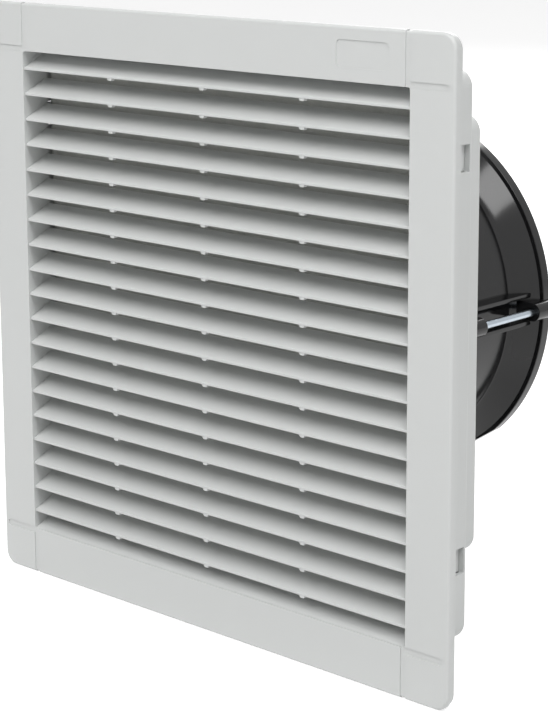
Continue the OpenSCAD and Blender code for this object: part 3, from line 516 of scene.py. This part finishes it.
worked(mat, "DISPLACE", texture=tufts, strength=tuft_height, mid_level=1.0)
alone(mat)
bpy.ops.object.shade_smooth()
fibre = finish("filter_fibre", (0.42, 0.425, 0.4), 0.95, tint=0.12, patch=350, grain=2200, bump=0.9,
               depth=0.6 * mm, specular=0.2)
in_place(mat, "filter_mat_pad", "cover", "filter_fibre", fibre, "filter_mat")

# Mounting base
# The light grey moulding that stays in the panel: a flange, a wide collar with centring ribs and
# four clip slots, and a narrower rear collar whose back wall carries the fan.


def round_bar(radius, front, back, sides, x=0.0, z=0.0):
    """A round rod along Y."""
    bpy.ops.object.select_all(action="DESELECT")
    bpy.ops.mesh.primitive_cylinder_add(vertices=sides, radius=radius, depth=back - front,
                                        location=(x, (front + back) / 2, z),
                                        rotation=(radians(90), 0, 0))
    bpy.ops.object.transform_apply(location=True, rotation=True, scale=True)
    return bpy.context.object


base_low, base_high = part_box("base_frame")
flange_half = base_high.x
flange_front = base_low.y
base_wall = 2.6 * mm
collar_half = 139.8 * mm
collar_end = 34 * mm
collar_corner = 9 * mm
inner_corner = collar_corner - base_wall
rear_half = 112.3 * mm
rear_end = base_high.y
inlet_radius = 87.5 * mm
edge_round = 1.6 * mm
base_ease = 0.3 * mm
base = slab(flange_half, cover_corner, flange_front, 0, segments=12)
fused(base, slab(collar_half, collar_corner, -overlap, collar_end, segments=12))
fused(base, slab(rear_half, collar_corner, collar_end - base_wall, rear_end, segments=12))
pick(base, "EDGE", lambda ends: all(
    abs(p.y - collar_end) < near and max(abs(p.x), abs(p.z)) > rear_half + over
    or abs(p.y - rear_end) < near for p in ends) and ends[0].y == ends[1].y)
bpy.ops.mesh.bevel(offset=edge_round, segments=4, affect="EDGES")
done()
collar_in = collar_half - base_wall
rear_in = rear_half - base_wall
cut(base, slab(collar_in, inner_corner, flange_front - over, collar_end - base_wall, segments=8),
    slab(rear_in, inner_corner, collar_end - base_wall - over, rear_end - base_wall, segments=8),
    round_bar(inlet_radius, rear_end - 2 * base_wall, rear_end + over, 128))

# Centring ribs on the collar's four sides, which find the panel's cut-out
rib_wall = 2 * mm
rib_reach = 4.7 * mm
rib_run = 9 * mm
rib_flat = 0.6 * rib_run
rib_places = (-0.88, -0.42, 0, 0.42, 0.88)
ribs = []
for place in rib_places:
    z = place * collar_half
    ribs.append(drawn_out([(collar_half - overlap, -overlap), (collar_half + rib_reach, -overlap),
                           (collar_half + rib_reach, rib_flat),
                           (collar_half - overlap, rib_run)], "Z",
                          z - rib_wall / 2, z + rib_wall / 2))
rib_side = merged(ribs)
for turn in quarter_turns[1:]:
    fused(base, copied(rib_side, turn))
fused(base, rib_side)

# Clip slots with the cheeks that carry the pivots, the seal's groove and the screw holes
clip_low, clip_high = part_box("clip_right_top")
clip_z = (clip_low.z + clip_high.z) / 2
slot_half = 6.5 * mm
slot_front = 3 * mm
slot_back = 31.8 * mm
cheek_wall = 2.5 * mm
pivot_x = 135.6 * mm
pivot_y = 26.6 * mm
cheek_half = 1.6 * mm
cheek_run = 2 * mm
screw_ring = 98.5 * mm
hole_radius = 2.2 * mm
for sx in (-1, 1):
    for sz in (-1, 1):
        for side in (-1, 1):
            z = sz * clip_z + side * (slot_half + cheek_wall / 2)
            xs = sorted((sx * (pivot_x - cheek_half), sx * (pivot_x + cheek_half + overlap)))
            fused(base, block((xs[0], pivot_y - cheek_run, z - cheek_wall / 2),
                              (xs[1], pivot_y + cheek_run, z + cheek_wall / 2)))
        xs = sorted((sx * (collar_in - over), sx * (collar_half + over)))
        cut(base, block((xs[0], slot_front, sz * clip_z - slot_half),
                        (xs[1], slot_back, sz * clip_z + slot_half)))
seal_low, seal_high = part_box("panel_seal")
seal_width = 6 * mm
seal_corner = 6.3 * mm
seal_corner_in = 5.1 * mm
groove_ring = slab(seal_high.x, seal_corner, seal_low.y, over, segments=8)
cut(groove_ring, slab(seal_high.x - seal_width, seal_corner_in, seal_low.y - over, 2 * over,
                      segments=8))
cut(base, groove_ring)
at_screws = [turn @ Vector((screw_ring, 0, 0)) for turn in quarter_turns]
for at in at_screws:
    cut(base, round_bar(hole_radius, rear_end - 2 * base_wall, rear_end + over, 24, at.x, at.z))
eased(base, base_ease)
smoothed(base)
base_plastic = finish("base_plastic", grey, 0.45, tint=0.012, patch=25, grain=2600, bump=0.1)
in_place(base, "mounting_base_moulding", "mounting_base", "base_plastic", base_plastic,
         "base_frame")

# Panel seal
# A strip of dark foam rubber set in the flange's groove. The panel squeezes it flat when the clips
# hold the fan in the cut-out, and that keeps dust and water out.
seal_play = 0.1 * mm
seal_ease = 0.35 * mm
seal = slab(seal_high.x - seal_play, seal_corner, seal_low.y + seal_play / 2, seal_high.y,
            segments=8)
cut(seal, slab(seal_high.x - seal_width + seal_play, seal_corner_in, seal_low.y - over,
               seal_high.y + over, segments=8))
eased(seal, seal_ease, segments=3)
smoothed(seal, angle=50)
foam = finish("seal_foam", (0.022, 0.022, 0.023), 0.95, tint=0.3, patch=900, grain=1400, bump=0.8,
              depth=0.3 * mm, specular=0.2)
in_place(seal, "panel_seal_strip", "mounting_base", "seal_foam", foam, "panel_seal")

# Fan housing
# The glossy black moulding of the axial fan: a duct that flares to a stepped rear rim, bosses and
# ears for four long screws, ribs along the duct, and four struts that carry the motor's plate.
weld = 0.002 * mm


def turned(profile, steps):
    """A profile of radius and depth, spun about the fan's axis.

    It makes a ring, or a solid body where the profile starts and ends on the axis.
    """
    bpy.ops.object.select_all(action="DESELECT")
    bpy.ops.mesh.primitive_circle_add(vertices=len(profile), fill_type="NOTHING")
    piece = bpy.context.object
    for vertex, (radius, y) in zip(piece.data.vertices, profile):
        vertex.co = (radius, y, 0)
    pick(piece, "EDGE", lambda ends: max(end.x for end in ends) == 0)
    bpy.ops.mesh.delete(type="EDGE")
    bpy.ops.mesh.select_all(action="SELECT")
    bpy.ops.mesh.spin(steps=steps, angle=2 * pi, center=(0, 0, 0), axis=(0, 1, 0))
    bpy.ops.mesh.select_all(action="SELECT")
    bpy.ops.mesh.remove_doubles(threshold=weld)
    bpy.ops.mesh.normals_make_consistent(inside=False)
    done()
    return piece


fan_front = rear_end
fan_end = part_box("outlet_flare")[1].y
duct_radius = 86 * mm
duct_wall = 2.5 * mm
bore_radius = duct_radius - duct_wall
rim_radius = 99 * mm
rim_length = 6 * mm
rim_step = 2.5 * mm
rim_front = fan_end - rim_length
flare_length = 14 * mm
flare_curve = 1.18
flare_front = rim_front - flare_length
flare_out = rim_radius - rim_step
flange_reach = 10 * mm
flange_radius = duct_radius + flange_reach
flange_wall = 3 * mm
inlet_round = 4 * mm
soft = 0.5 * mm


def flare(base_radius, shift, share):
    """A point of the flare, which leaves the duct in a curve and then runs nearly straight."""
    return (base_radius + (flare_out - duct_radius) * share ** flare_curve,
            flare_front + shift + flare_length * share)


shares = [k / 20 for k in range(21)]
quarter = [radians(a) for a in range(0, 91, 15)]
profile = [(flange_radius - soft + soft * sin(t), fan_front + soft - soft * cos(t))
           for t in quarter]
profile += [(flange_radius - soft + soft * cos(t), fan_front + flange_wall - soft + soft * sin(t))
            for t in quarter]
profile += [(duct_radius + 2 * soft - 2 * soft * sin(t),
             fan_front + flange_wall + 2 * soft - 2 * soft * cos(t)) for t in quarter]
profile += [flare(duct_radius, 0, s) for s in shares]
profile += [(rim_radius - soft + soft * sin(t), rim_front + soft - soft * cos(t))
            for t in quarter]
profile += [(rim_radius - soft + soft * cos(t), fan_end - soft + soft * sin(t)) for t in quarter]
profile += [(flare_out - duct_wall, fan_end)]
profile += [flare(bore_radius, duct_wall / 2, s) for s in reversed(shares[:-1])]
profile += [(bore_radius + inlet_round - inlet_round * sin(t),
             fan_front + inlet_round - inlet_round * cos(t)) for t in reversed(quarter)]
housing = turned(profile, steps=160)

# Two flats on the rim, one on each side of the bottom screw
flat_at = 0.985 * rim_radius
flat_turns = about_fan(57, 123)
for turn in flat_turns:
    flat = block((flat_at, rim_front - over, -rim_radius),
                 (2 * flat_at, fan_end + over, rim_radius))
    flat.data.transform(turn)
    cut(housing, flat)

# Bosses, ears and ribs at the four long screws
boss_radius = 5 * mm
boss_length = 20 * mm
ear_length = 16 * mm
ear_front = fan_end - ear_length
ear_end = fan_end - rim_length / 6
duct_rib = 7 * mm
boss_ease = 0.4 * mm
web_sink = 1.2 * mm
web_in = duct_radius - web_sink
rib_off = boss_radius + duct_wall
hair = 0.05 * mm


def boss(front, back):
    """A boss with its web to the duct as one outline, the edges of both its ends broken."""
    outline = [(web_in, -boss_radius)]
    outline += [(screw_ring + boss_radius * cos(radians(a)), boss_radius * sin(radians(a)))
                for a in range(-90, 91, 6)]
    outline += [(web_in, boss_radius)]
    piece = drawn_out(outline, "Y", front, back)
    pick(piece, "EDGE", lambda ends: ends[0].y == ends[1].y)
    bpy.ops.mesh.bevel(offset=boss_ease, segments=2, affect="EDGES")
    done()
    return piece


fins = []
for side in (-1, 1):
    z = side * rib_off
    rib_back = ear_front + duct_rib
    fin = block((web_in, fan_front + hair, z - duct_wall / 2),
                (duct_radius + duct_rib, rib_back, z + duct_wall / 2))
    fins.append(eased(fin, boss_ease))
mount = merged([boss(fan_front + hair, fan_front + boss_length), boss(ear_front, ear_end)] + fins)
for turn in quarter_turns[1:]:
    fused(housing, copied(mount, turn))
fused(housing, mount)

# Four struts and the plate that carries the motor, with its bearing tube
plate_radius = 30 * mm
plate_wall = 4 * mm
plate_fillet = 1.5 * mm
plate_front = fan_end - rim_length - plate_wall
strut_width = 8 * mm
strut_depth = 5 * mm
strut_front = rim_front - strut_depth / 2
strut_end = strut_front + strut_depth
strut_share = 0.85
strut_out = bore_radius + strut_share * (flare_out - duct_radius)
strut_ease = 0.8 * mm
strut_turns = about_fan(135, 225, 315, 45)
tube_radius = 13.5 * mm
tube_front = 108.7 * mm
bearing_radius = 11 * mm
tube_end = 137.3 * mm
shaft_hole = 7.2 * mm
arm = block((plate_radius - duct_wall, strut_front, -strut_width / 2),
            (strut_out, strut_end, strut_width / 2))
eased(arm, strut_ease, segments=3)
heel = block((duct_radius, rim_front + hair, overlap - strut_width / 2),
             (flare_out - overlap, strut_end - hair, strut_width / 2 - overlap))
fused(arm, heel)
for turn in strut_turns:
    fused(housing, copied(arm, turn))
bpy.data.objects.remove(arm)
motor_plate = turned([(tube_radius, tube_front), (tube_radius, plate_front - plate_fillet),
                      (tube_radius + plate_fillet, plate_front),
                      (plate_radius - soft, plate_front), (plate_radius, plate_front + soft),
                      (plate_radius, rim_front - 2 * soft), (plate_radius - 2 * soft, rim_front),
                      (shaft_hole, rim_front), (shaft_hole, tube_end),
                      (bearing_radius, tube_end), (bearing_radius, tube_front)], steps=96)
fused(housing, motor_plate)

# The slot in the plate that lets the motor's lead out, and the screws' holes and washer seats
slot_radius = 2.7 * mm
slot_in = 18 * mm
slot_out = 20.4 * mm
way = [(slot_out + slot_radius * cos(radians(a)), slot_radius * sin(radians(a)))
       for a in range(-90, 91, 15)]
way += [(slot_in - slot_radius * cos(radians(a)), -slot_radius * sin(radians(a)))
        for a in range(-90, 91, 15)]
lead_way = drawn_out(way, "Y", plate_front - over, rim_front + over)
lead_way.data.transform(strut_turns[0])
cut(housing, lead_way)
washer_seat = 4.7 * mm
for at in at_screws:
    cut(housing, round_bar(hole_radius, fan_front - over, fan_end + over, 32, at.x, at.z),
        round_bar(washer_seat, ear_end, fan_end + over, 48, at.x, at.z))
smoothed(housing, angle=32)
housing_black = finish("housing_black", (0.009, 0.009, 0.0095), 0.14, tint=0.15, patch=30,
                       spread=0.06, grain=1800, bump=0.04, specular=0.32)
in_place(housing, "fan_housing_duct", "mounting_base", "housing_black", housing_black,
         "fan_housing", "outlet_flare", "motor_bracket")

# Long screws with their washers and nuts
# Four zinc-plated M4 machine screws run beside the duct from the rear ears to nuts inside the
# rear collar, and clamp the fan and its wire guard to the base.
screw_low, screw_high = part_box("fan_screws")
nut_low, nut_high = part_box("fan_nuts")
washer_low, washer_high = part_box("fan_washers")
shank = 2 * mm
thread = 0.22 * mm
pitch = 0.7 * mm
thread_run = 24 * mm
head_radius = 3.9 * mm
head_front = washer_high.y
head_round_out, head_round_up = 1.2 * mm, 1.7 * mm
screw_shifts = [Matrix.Translation(at) for at in at_screws]
profile = [(0, screw_low.y), (shank - thread - soft, screw_low.y)]
for k in range(int(thread_run / pitch)):
    profile += [(shank - thread, screw_low.y + (k + 0.25) * pitch),
                (shank, screw_low.y + (k + 0.75) * pitch)]
profile += [(shank, screw_low.y + thread_run + pitch), (shank, head_front),
            (head_radius - soft / 2, head_front), (head_radius, head_front + soft / 2)]
profile += [(head_radius - head_round_out + head_round_out * cos(t),
             screw_high.y - head_round_up + head_round_up * sin(t)) for t in quarter]
profile += [(0, screw_high.y)]
screw = turned(profile, steps=40)
cross_width = 0.9 * mm
cross_reach = 2 * mm
cross_depth = 1.5 * mm
for reach_x, reach_z in ((cross_reach, cross_width / 2), (cross_width / 2, cross_reach)):
    cut(screw, block((-reach_x, screw_high.y - cross_depth, -reach_z),
                     (reach_x, screw_high.y + over, reach_z)))
screws = merged([copied(screw, place) for place in screw_shifts])
bpy.data.objects.remove(screw)
smoothed(screws, angle=40)
zinc = finish("zinc_plate", (0.42, 0.47, 0.52), 0.25, metal=1.0, tint=0.06, patch=300, spread=0.08,
              grain=4000, bump=0.03, stretch=(1, 0.15, 1))
in_place(screws, "long_screws", "mounting_base", "zinc_steel", zinc, "fan_screws")

washer_hole = 2.2 * mm
washer_radius = 4.5 * mm
burr = 0.1 * mm
washer = turned([(washer_hole, washer_low.y + burr), (washer_hole + burr, washer_low.y),
                 (washer_radius - 2 * burr, washer_low.y),
                 (washer_radius, washer_low.y + 2 * burr),
                 (washer_radius, washer_high.y - 2 * burr),
                 (washer_radius - 2 * burr, washer_high.y), (washer_hole + burr, washer_high.y),
                 (washer_hole, washer_high.y - burr)], steps=48)
washers = merged([copied(washer, place) for place in screw_shifts])
bpy.data.objects.remove(washer)
smoothed(washers, angle=30)
in_place(washers, "screw_washers", "mounting_base", "zinc_steel", zinc, "fan_washers")

nut_flats = 7 * mm
nut_chamfer_out, nut_chamfer_up = 0.9 * mm, 0.5 * mm
thread_play = 0.02 * mm
nut = round_bar(nut_flats / sqrt(3), nut_low.y, nut_high.y, 6)
chamfer = turned([(0, nut_low.y - over), (nut_flats / 2 - over, nut_low.y - over),
                  (nut_flats / 2 + nut_chamfer_out, nut_low.y + nut_chamfer_up),
                  (nut_flats / 2 + nut_chamfer_out, nut_high.y - nut_chamfer_up),
                  (nut_flats / 2 - over, nut_high.y + over), (0, nut_high.y + over)],
                 steps=48)
combined(nut, "INTERSECT", chamfer)
cut(nut, round_bar(shank + thread_play, nut_low.y - over, nut_high.y + over, 32))
nuts = merged([copied(nut, place) for place in screw_shifts])
bpy.data.objects.remove(nut)
smoothed(nuts, angle=30)
in_place(nuts, "screw_nuts", "mounting_base", "zinc_steel", zinc, "fan_nuts")

# Finger guard
# Rings of round steel wire welded to four arms that end in flattened eyes. It lies in front of the
# fan's inlet, held under the nuts, and keeps fingers off the blades.
guard_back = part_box("finger_guard")[1].y
wire = 1.1 * mm
ring_count = 6
ring_first = 20 * mm
ring_last = 82 * mm
eye_wall = 1.4 * mm
eye_front = guard_back - eye_wall
arm_sink = 0.2 * mm
arm_y = guard_back - eye_wall - wire + arm_sink
ring_sink = 0.8
ring_y = guard_back - eye_wall - wire - ring_sink * wire
eye_overlap = 0.5 * mm
rings = []
for k in range(ring_count):
    radius = ring_first + (ring_last - ring_first) * k / (ring_count - 1)
    bpy.ops.object.select_all(action="DESELECT")
    bpy.ops.mesh.primitive_torus_add(major_radius=radius, minor_radius=wire, major_segments=96,
                                     minor_segments=12, location=(0, ring_y, 0),
                                     rotation=(radians(90), 0, 0))
    bpy.ops.object.transform_apply(location=True, rotation=True, scale=True)
    rings.append(bpy.context.object)
guard = merged(rings)
arm_in = ring_first - wire
arm_out = screw_ring - boss_radius + eye_overlap
bpy.ops.object.select_all(action="DESELECT")
bpy.ops.mesh.primitive_cylinder_add(vertices=14, radius=wire, depth=arm_out - arm_in,
                                    location=((arm_in + arm_out) / 2, arm_y, 0),
                                    rotation=(0, radians(90), 0))
bpy.ops.object.transform_apply(location=True, rotation=True, scale=True)
guard_arm = bpy.context.object
eye = round_bar(boss_radius, eye_front, guard_back, 40, screw_ring)
cut(eye, round_bar(hole_radius, eye_front - over, guard_back + over, 32, screw_ring))
guard_arm = fused(eye, guard_arm)
for turn in quarter_turns[1:]:
    fused(guard, copied(guard_arm, turn))
fused(guard, guard_arm)
smoothed(guard, angle=50)
guard_wire = finish("guard_wire", (0.5, 0.53, 0.56), 0.3, metal=1.0, tint=0.08, patch=500,
                    spread=0.12, grain=3500, bump=0.08)
in_place(guard, "wire_guard", "mounting_base", "guard_wire", guard_wire, "finger_guard")

# Impeller
# Seven swept blades of black glass-filled nylon, moulded in one with a hub that is pressed over
# the rotor cup and turns with it.
hub_radius = 42.5 * mm
hub_lip = 0.8 * mm
hub_nose = 1.2 * mm
hub_shoulder = 2.5 * mm
can_radius = 40 * mm
can_front = 101.2 * mm
can_length = 42 * mm
can_middle = can_front + can_length / 2
tip_gap = 1.5 * mm
blade_root = 41.25 * mm
blade_tip = bore_radius - tip_gap
blade_count = 7
blade_wall = 1.6 * mm
blade_edge = 0.5 * mm
blade_taper = 0.08
blade_camber = 0.07
pitch_hub = 48
pitch_tip = 30
blade_sweep = 9


def blade_place(out, along):
    """A point of a blade's middle: out runs 0 to 1 to the tip, along -1 to 1 on the chord."""
    radius = blade_root + (blade_tip - blade_root) * out
    pitch_here = radians(pitch_hub + (pitch_tip - pitch_hub) * out)
    chord = can_length * (1 - blade_taper * out)
    off = chord * blade_camber * (1 - along * along)
    run = chord / 2 * along
    arc = run * cos(pitch_here) - off * sin(pitch_here)
    axial = run * sin(pitch_here) + off * cos(pitch_here)
    angle = arc / radius + radians(blade_sweep * out)
    return (radius * cos(angle), can_middle + axial, radius * sin(angle))


bpy.ops.object.select_all(action="DESELECT")
bpy.ops.mesh.primitive_grid_add(x_subdivisions=12, y_subdivisions=16, size=2)
blade = bpy.context.object
for vertex in blade.data.vertices:
    vertex.co = blade_place((vertex.co.x + 1) / 2, vertex.co.y)
worked(blade, "SOLIDIFY", thickness=blade_wall, offset=0)
worked(blade, "BEVEL", width=blade_edge, segments=3, limit_method="ANGLE",
       angle_limit=radians(50))
hub = turned([(can_radius, can_front), (can_radius + hub_lip, can_front),
              (hub_radius - soft, can_front + hub_nose), (hub_radius, can_front + hub_shoulder),
              (hub_radius, can_front + can_length - soft),
              (hub_radius - soft, can_front + can_length), (can_radius, can_front + can_length)],
             steps=128)
for turn in about_fan(*[360 * k / blade_count for k in range(blade_count)]):
    fused(hub, copied(blade, turn))
bpy.data.objects.remove(blade)
smoothed(hub, angle=40)
impeller_black = finish("impeller_black", (0.02, 0.02, 0.021), 0.38, tint=0.2, patch=80,
                        spread=0.14, grain=2200)
in_place(hub, "impeller_wheel", "rotor", "impeller_black", impeller_black, "impeller")

# Panel clips, mat grid and terminal parts
# Smaller mouldings and turned parts whose CAD shape is right: each keeps that shape, with its
# edges broken as a mould or a cutter leaves them.
flat_angle = 0.2


def from_node(node, width, angle=35):
    """A merged copy of a CAD node with its sharp edges broken."""
    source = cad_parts[node]
    twin = source.copy()
    twin.data = source.data.copy()
    for key in [k for k in twin.keys() if k.startswith("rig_")]:
        del twin[key]
    twin.parent = None
    bpy.context.scene.collection.objects.link(twin)
    alone(twin)
    bpy.ops.object.mode_set(mode="EDIT")
    bpy.ops.mesh.select_all(action="SELECT")
    bpy.ops.mesh.remove_doubles(threshold=weld)
    bpy.ops.mesh.dissolve_limited(angle_limit=radians(flat_angle))
    bpy.ops.mesh.normals_make_consistent(inside=False)
    done()
    eased(twin, width, angle)
    return smoothed(twin, angle)


clip_ease = 0.2 * mm
clip_plastic = finish("clip_plastic", grey, 0.45, tint=0.015, grain=2600, bump=0.1)
for side in ("right_top", "right_bottom", "left_top", "left_bottom"):
    in_place(from_node(f"clip_{side}", clip_ease), f"panel_clip_{side}", f"clip_{side}",
             "clip_plastic", clip_plastic, f"clip_{side}")
block_plastic = finish("terminal_plastic", (0.66, 0.66, 0.63), 0.4, tint=0.02, patch=120,
                       grain=2600)
brass = finish("clamp_brass", (0.72, 0.52, 0.2), 0.3, metal=1.0, tint=0.08, patch=400, grain=3000)
clip_black = finish("clip_black", (0.03, 0.03, 0.032), 0.4, tint=0.1, patch=200, grain=2600)

# Each part's node, edge width in millimetres, sharpest angle left alone, name, slot and material
fittings = [
    ("mat_grid", 0.3, 35, "mat_support_grid", "base_plastic", base_plastic),
    ("terminal_block", 0.25, 35, "terminal_strip", "terminal_plastic", block_plastic),
    ("terminal_clamps", 0.15, 35, "wire_clamps", "clamp_brass", brass),
    ("terminal_screws", 0.15, 35, "clamp_screws", "zinc_steel", zinc),
    ("terminal_fixings", 0.15, 35, "strip_fixings", "zinc_steel", zinc),
    ("earth_screw", 0.2, 35, "earth_screw_pan", "zinc_steel", zinc),
    ("earth_tag", 0.06, 60, "earth_ring_tag", "clamp_brass", brass),
    ("lead_clip", 0.15, 35, "lead_saddle", "clip_black", clip_black),
]
for node, width, angle, name, slot_name, material in fittings:
    in_place(from_node(node, width * mm, angle), name, "mounting_base", slot_name, material, node)

# Motor
# An external-rotor motor in the hub: a drawn steel cup with a cast cage ring turns about a wound,
# laminated stator on two ball bearings, held by a clip and a wave spring.
rotor_steel = finish("rotor_steel", (0.5, 0.51, 0.52), 0.32, metal=1.0, tint=0.07, patch=90,
                     spread=0.12, grain=2600, stretch=(1, 3, 1))
cage = finish("cage_aluminium", (0.6, 0.6, 0.61), 0.5, metal=1.0, tint=0.1, patch=300, grain=1500,
              bump=0.3)
bright = finish("bright_steel", (0.6, 0.61, 0.62), 0.16, metal=1.0, tint=0.05, patch=300,
                grain=3000, bump=0.05)
dark_steel = finish("dark_steel", (0.1, 0.1, 0.11), 0.4, metal=1.0, tint=0.1, patch=300, grain=3000)
bobbin = finish("bobbin_plastic", (0.68, 0.62, 0.45), 0.5, tint=0.04, patch=200, grain=2600)
foil = finish("label_foil", (0.55, 0.56, 0.57), 0.35, metal=0.6, patch=120, grain=3500)
sheet_depth, sheets_per_metre = 0.15 * mm, 300
wire_depth, wires_per_metre = 0.3 * mm, 350
lamination = finish("lamination_steel", (0.3, 0.31, 0.33), 0.42, metal=1.0, tint=0.12, patch=200,
                    bump=0.5, depth=sheet_depth)
copper = finish("winding_copper", (0.55, 0.2, 0.07), 0.3, metal=0.9, tint=0.15, patch=400,
                bump=0.8, depth=wire_depth)


def banded(material, per_metre, direction):
    """Sets fine bands in a material's relief, for stacked sheets or wound wire."""
    tree = material.node_tree
    bands = new_node(material, "ShaderNodeTexWave", bands_direction=direction)
    bands.inputs["Scale"].default_value = per_metre
    place = [n for n in tree.nodes if n.type == "TEX_COORD"][0]
    relief = [n for n in tree.nodes if n.type == "BUMP"][0]
    link(material, place.outputs["Object"], bands.inputs["Vector"])
    link(material, bands.outputs["Fac"], relief.inputs["Height"])


banded(lamination, sheets_per_metre, "Y")
banded(copper, wires_per_metre, "Y")

# Each part's node, edge width in millimetres, name, body, slot and material
motor = [("rotor_can", 0.4, "rotor_cup", "rotor", "rotor_steel", rotor_steel),
         ("rotor_cage", 0.3, "rotor_cage_ring", "rotor", "cage_aluminium", cage),
         ("shaft", 0.2, "motor_shaft", "rotor", "bright_steel", bright),
         ("shaft_clip", 0.1, "retaining_clip", "rotor", "dark_steel", dark_steel),
         ("stator_core", 0.15, "stator_stack", "mounting_base", "lamination_steel", lamination),
         ("stator_bobbins", 0.12, "stator_frames", "mounting_base", "bobbin_plastic", bobbin),
         ("stator_windings", 0.5, "stator_coils", "mounting_base", "winding_copper", copper),
         ("bearing_front", 0.25, "front_ball_bearing", "mounting_base", "bright_steel", bright),
         ("bearing_rear", 0.25, "rear_ball_bearing", "mounting_base", "bright_steel", bright),
         ("preload_spring", 0.1, "wave_spring", "mounting_base", "dark_steel", dark_steel),
         ("rating_label", 0.04, "blank_label", "mounting_base", "label_foil", foil)]
for node, width, name, body, slot_name, material in motor:
    in_place(from_node(node, width * mm), name, body, slot_name, material, node)

# Floor and light
# A plain white floor under the fan keeps its soft shadow. The key lamp stands high in front, one
# hangs overhead at the right, where the flare mirrors it, and two light the side and the back.
floor_size = 12
floor_gap = 0.2 * mm
paper_white = 0.86
paper_glow = 0.66
ambient, backdrop = 0.24, 1.0
bpy.ops.object.select_all(action="DESELECT")
bpy.ops.mesh.primitive_plane_add(size=floor_size, location=(0, 0, cad_low.z - floor_gap))
floor = bpy.context.object
floor.name = "floor"


def seen_directly(tree):
    """One where a ray comes from the camera, a gloss or a glass, and nought elsewhere."""
    path = tree.nodes.new("ShaderNodeLightPath")
    total = None
    for ray in ("Is Camera Ray", "Is Glossy Ray", "Is Transmission Ray"):
        if total is None:
            total = path.outputs[ray]
            continue
        larger = tree.nodes.new("ShaderNodeMath")
        larger.operation = "MAXIMUM"
        tree.links.new(total, larger.inputs[0])
        tree.links.new(path.outputs[ray], larger.inputs[1])
        total = larger.outputs["Value"]
    return total


floor_white = bpy.data.materials.new("floor_white")
floor_white.use_nodes = True
tree = floor_white.node_tree
paper = tree.nodes["Principled BSDF"]
paper.inputs["Base Color"].default_value = (paper_white, paper_white, paper_white, 1)
paper.inputs["Roughness"].default_value = 0.9
paper.inputs["Specular IOR Level"].default_value = 0.1
glow = tree.nodes.new("ShaderNodeEmission")
lift = tree.nodes.new("ShaderNodeMath")
lift.operation = "MULTIPLY"
lift.inputs[1].default_value = paper_glow
tree.links.new(seen_directly(tree), lift.inputs[0])
tree.links.new(lift.outputs["Value"], glow.inputs["Strength"])
both = tree.nodes.new("ShaderNodeAddShader")
tree.links.new(paper.outputs["BSDF"], both.inputs[0])
tree.links.new(glow.outputs["Emission"], both.inputs[1])
tree.links.new(both.outputs["Shader"], tree.nodes["Material Output"].inputs["Surface"])
floor.data.materials.append(floor_white)

world = bpy.data.worlds.new("studio")
bpy.context.scene.world = world
world.use_nodes = True
tree = world.node_tree
sky = tree.nodes["Background"]
sky.inputs["Color"].default_value = (1, 1, 1, 1)
level = tree.nodes.new("ShaderNodeMapRange")
level.inputs["To Min"].default_value = ambient
level.inputs["To Max"].default_value = backdrop
tree.links.new(seen_directly(tree), level.inputs["Value"])
tree.links.new(level.outputs["Result"], sky.inputs["Strength"])


def lamp(name, place, aim, size, power):
    """A square soft lamp that looks at a point."""
    light = bpy.data.objects.new(name, bpy.data.lights.new(name, "AREA"))
    bpy.context.scene.collection.objects.link(light)
    light.data.size = size
    light.data.energy = power
    light.location = place
    light.rotation_euler = (Vector(aim) - Vector(place)).to_track_quat("-Z", "Y").to_euler()


middle = (0, 0.05, 0)
lamp("key", place=(-0.45, -1.9, 2.1), aim=(0, 0, 0), size=1.3, power=38)
lamp("top", place=(1.0, -0.56, 1.64), aim=middle, size=0.8, power=18)
lamp("side", place=(2.4, -0.2, 0.9), aim=middle, size=2.4, power=7)
lamp("back", place=(-0.9, 2.0, 1.6), aim=middle, size=1.4, power=28)
bpy.context.scene.view_settings.view_transform = "Standard"
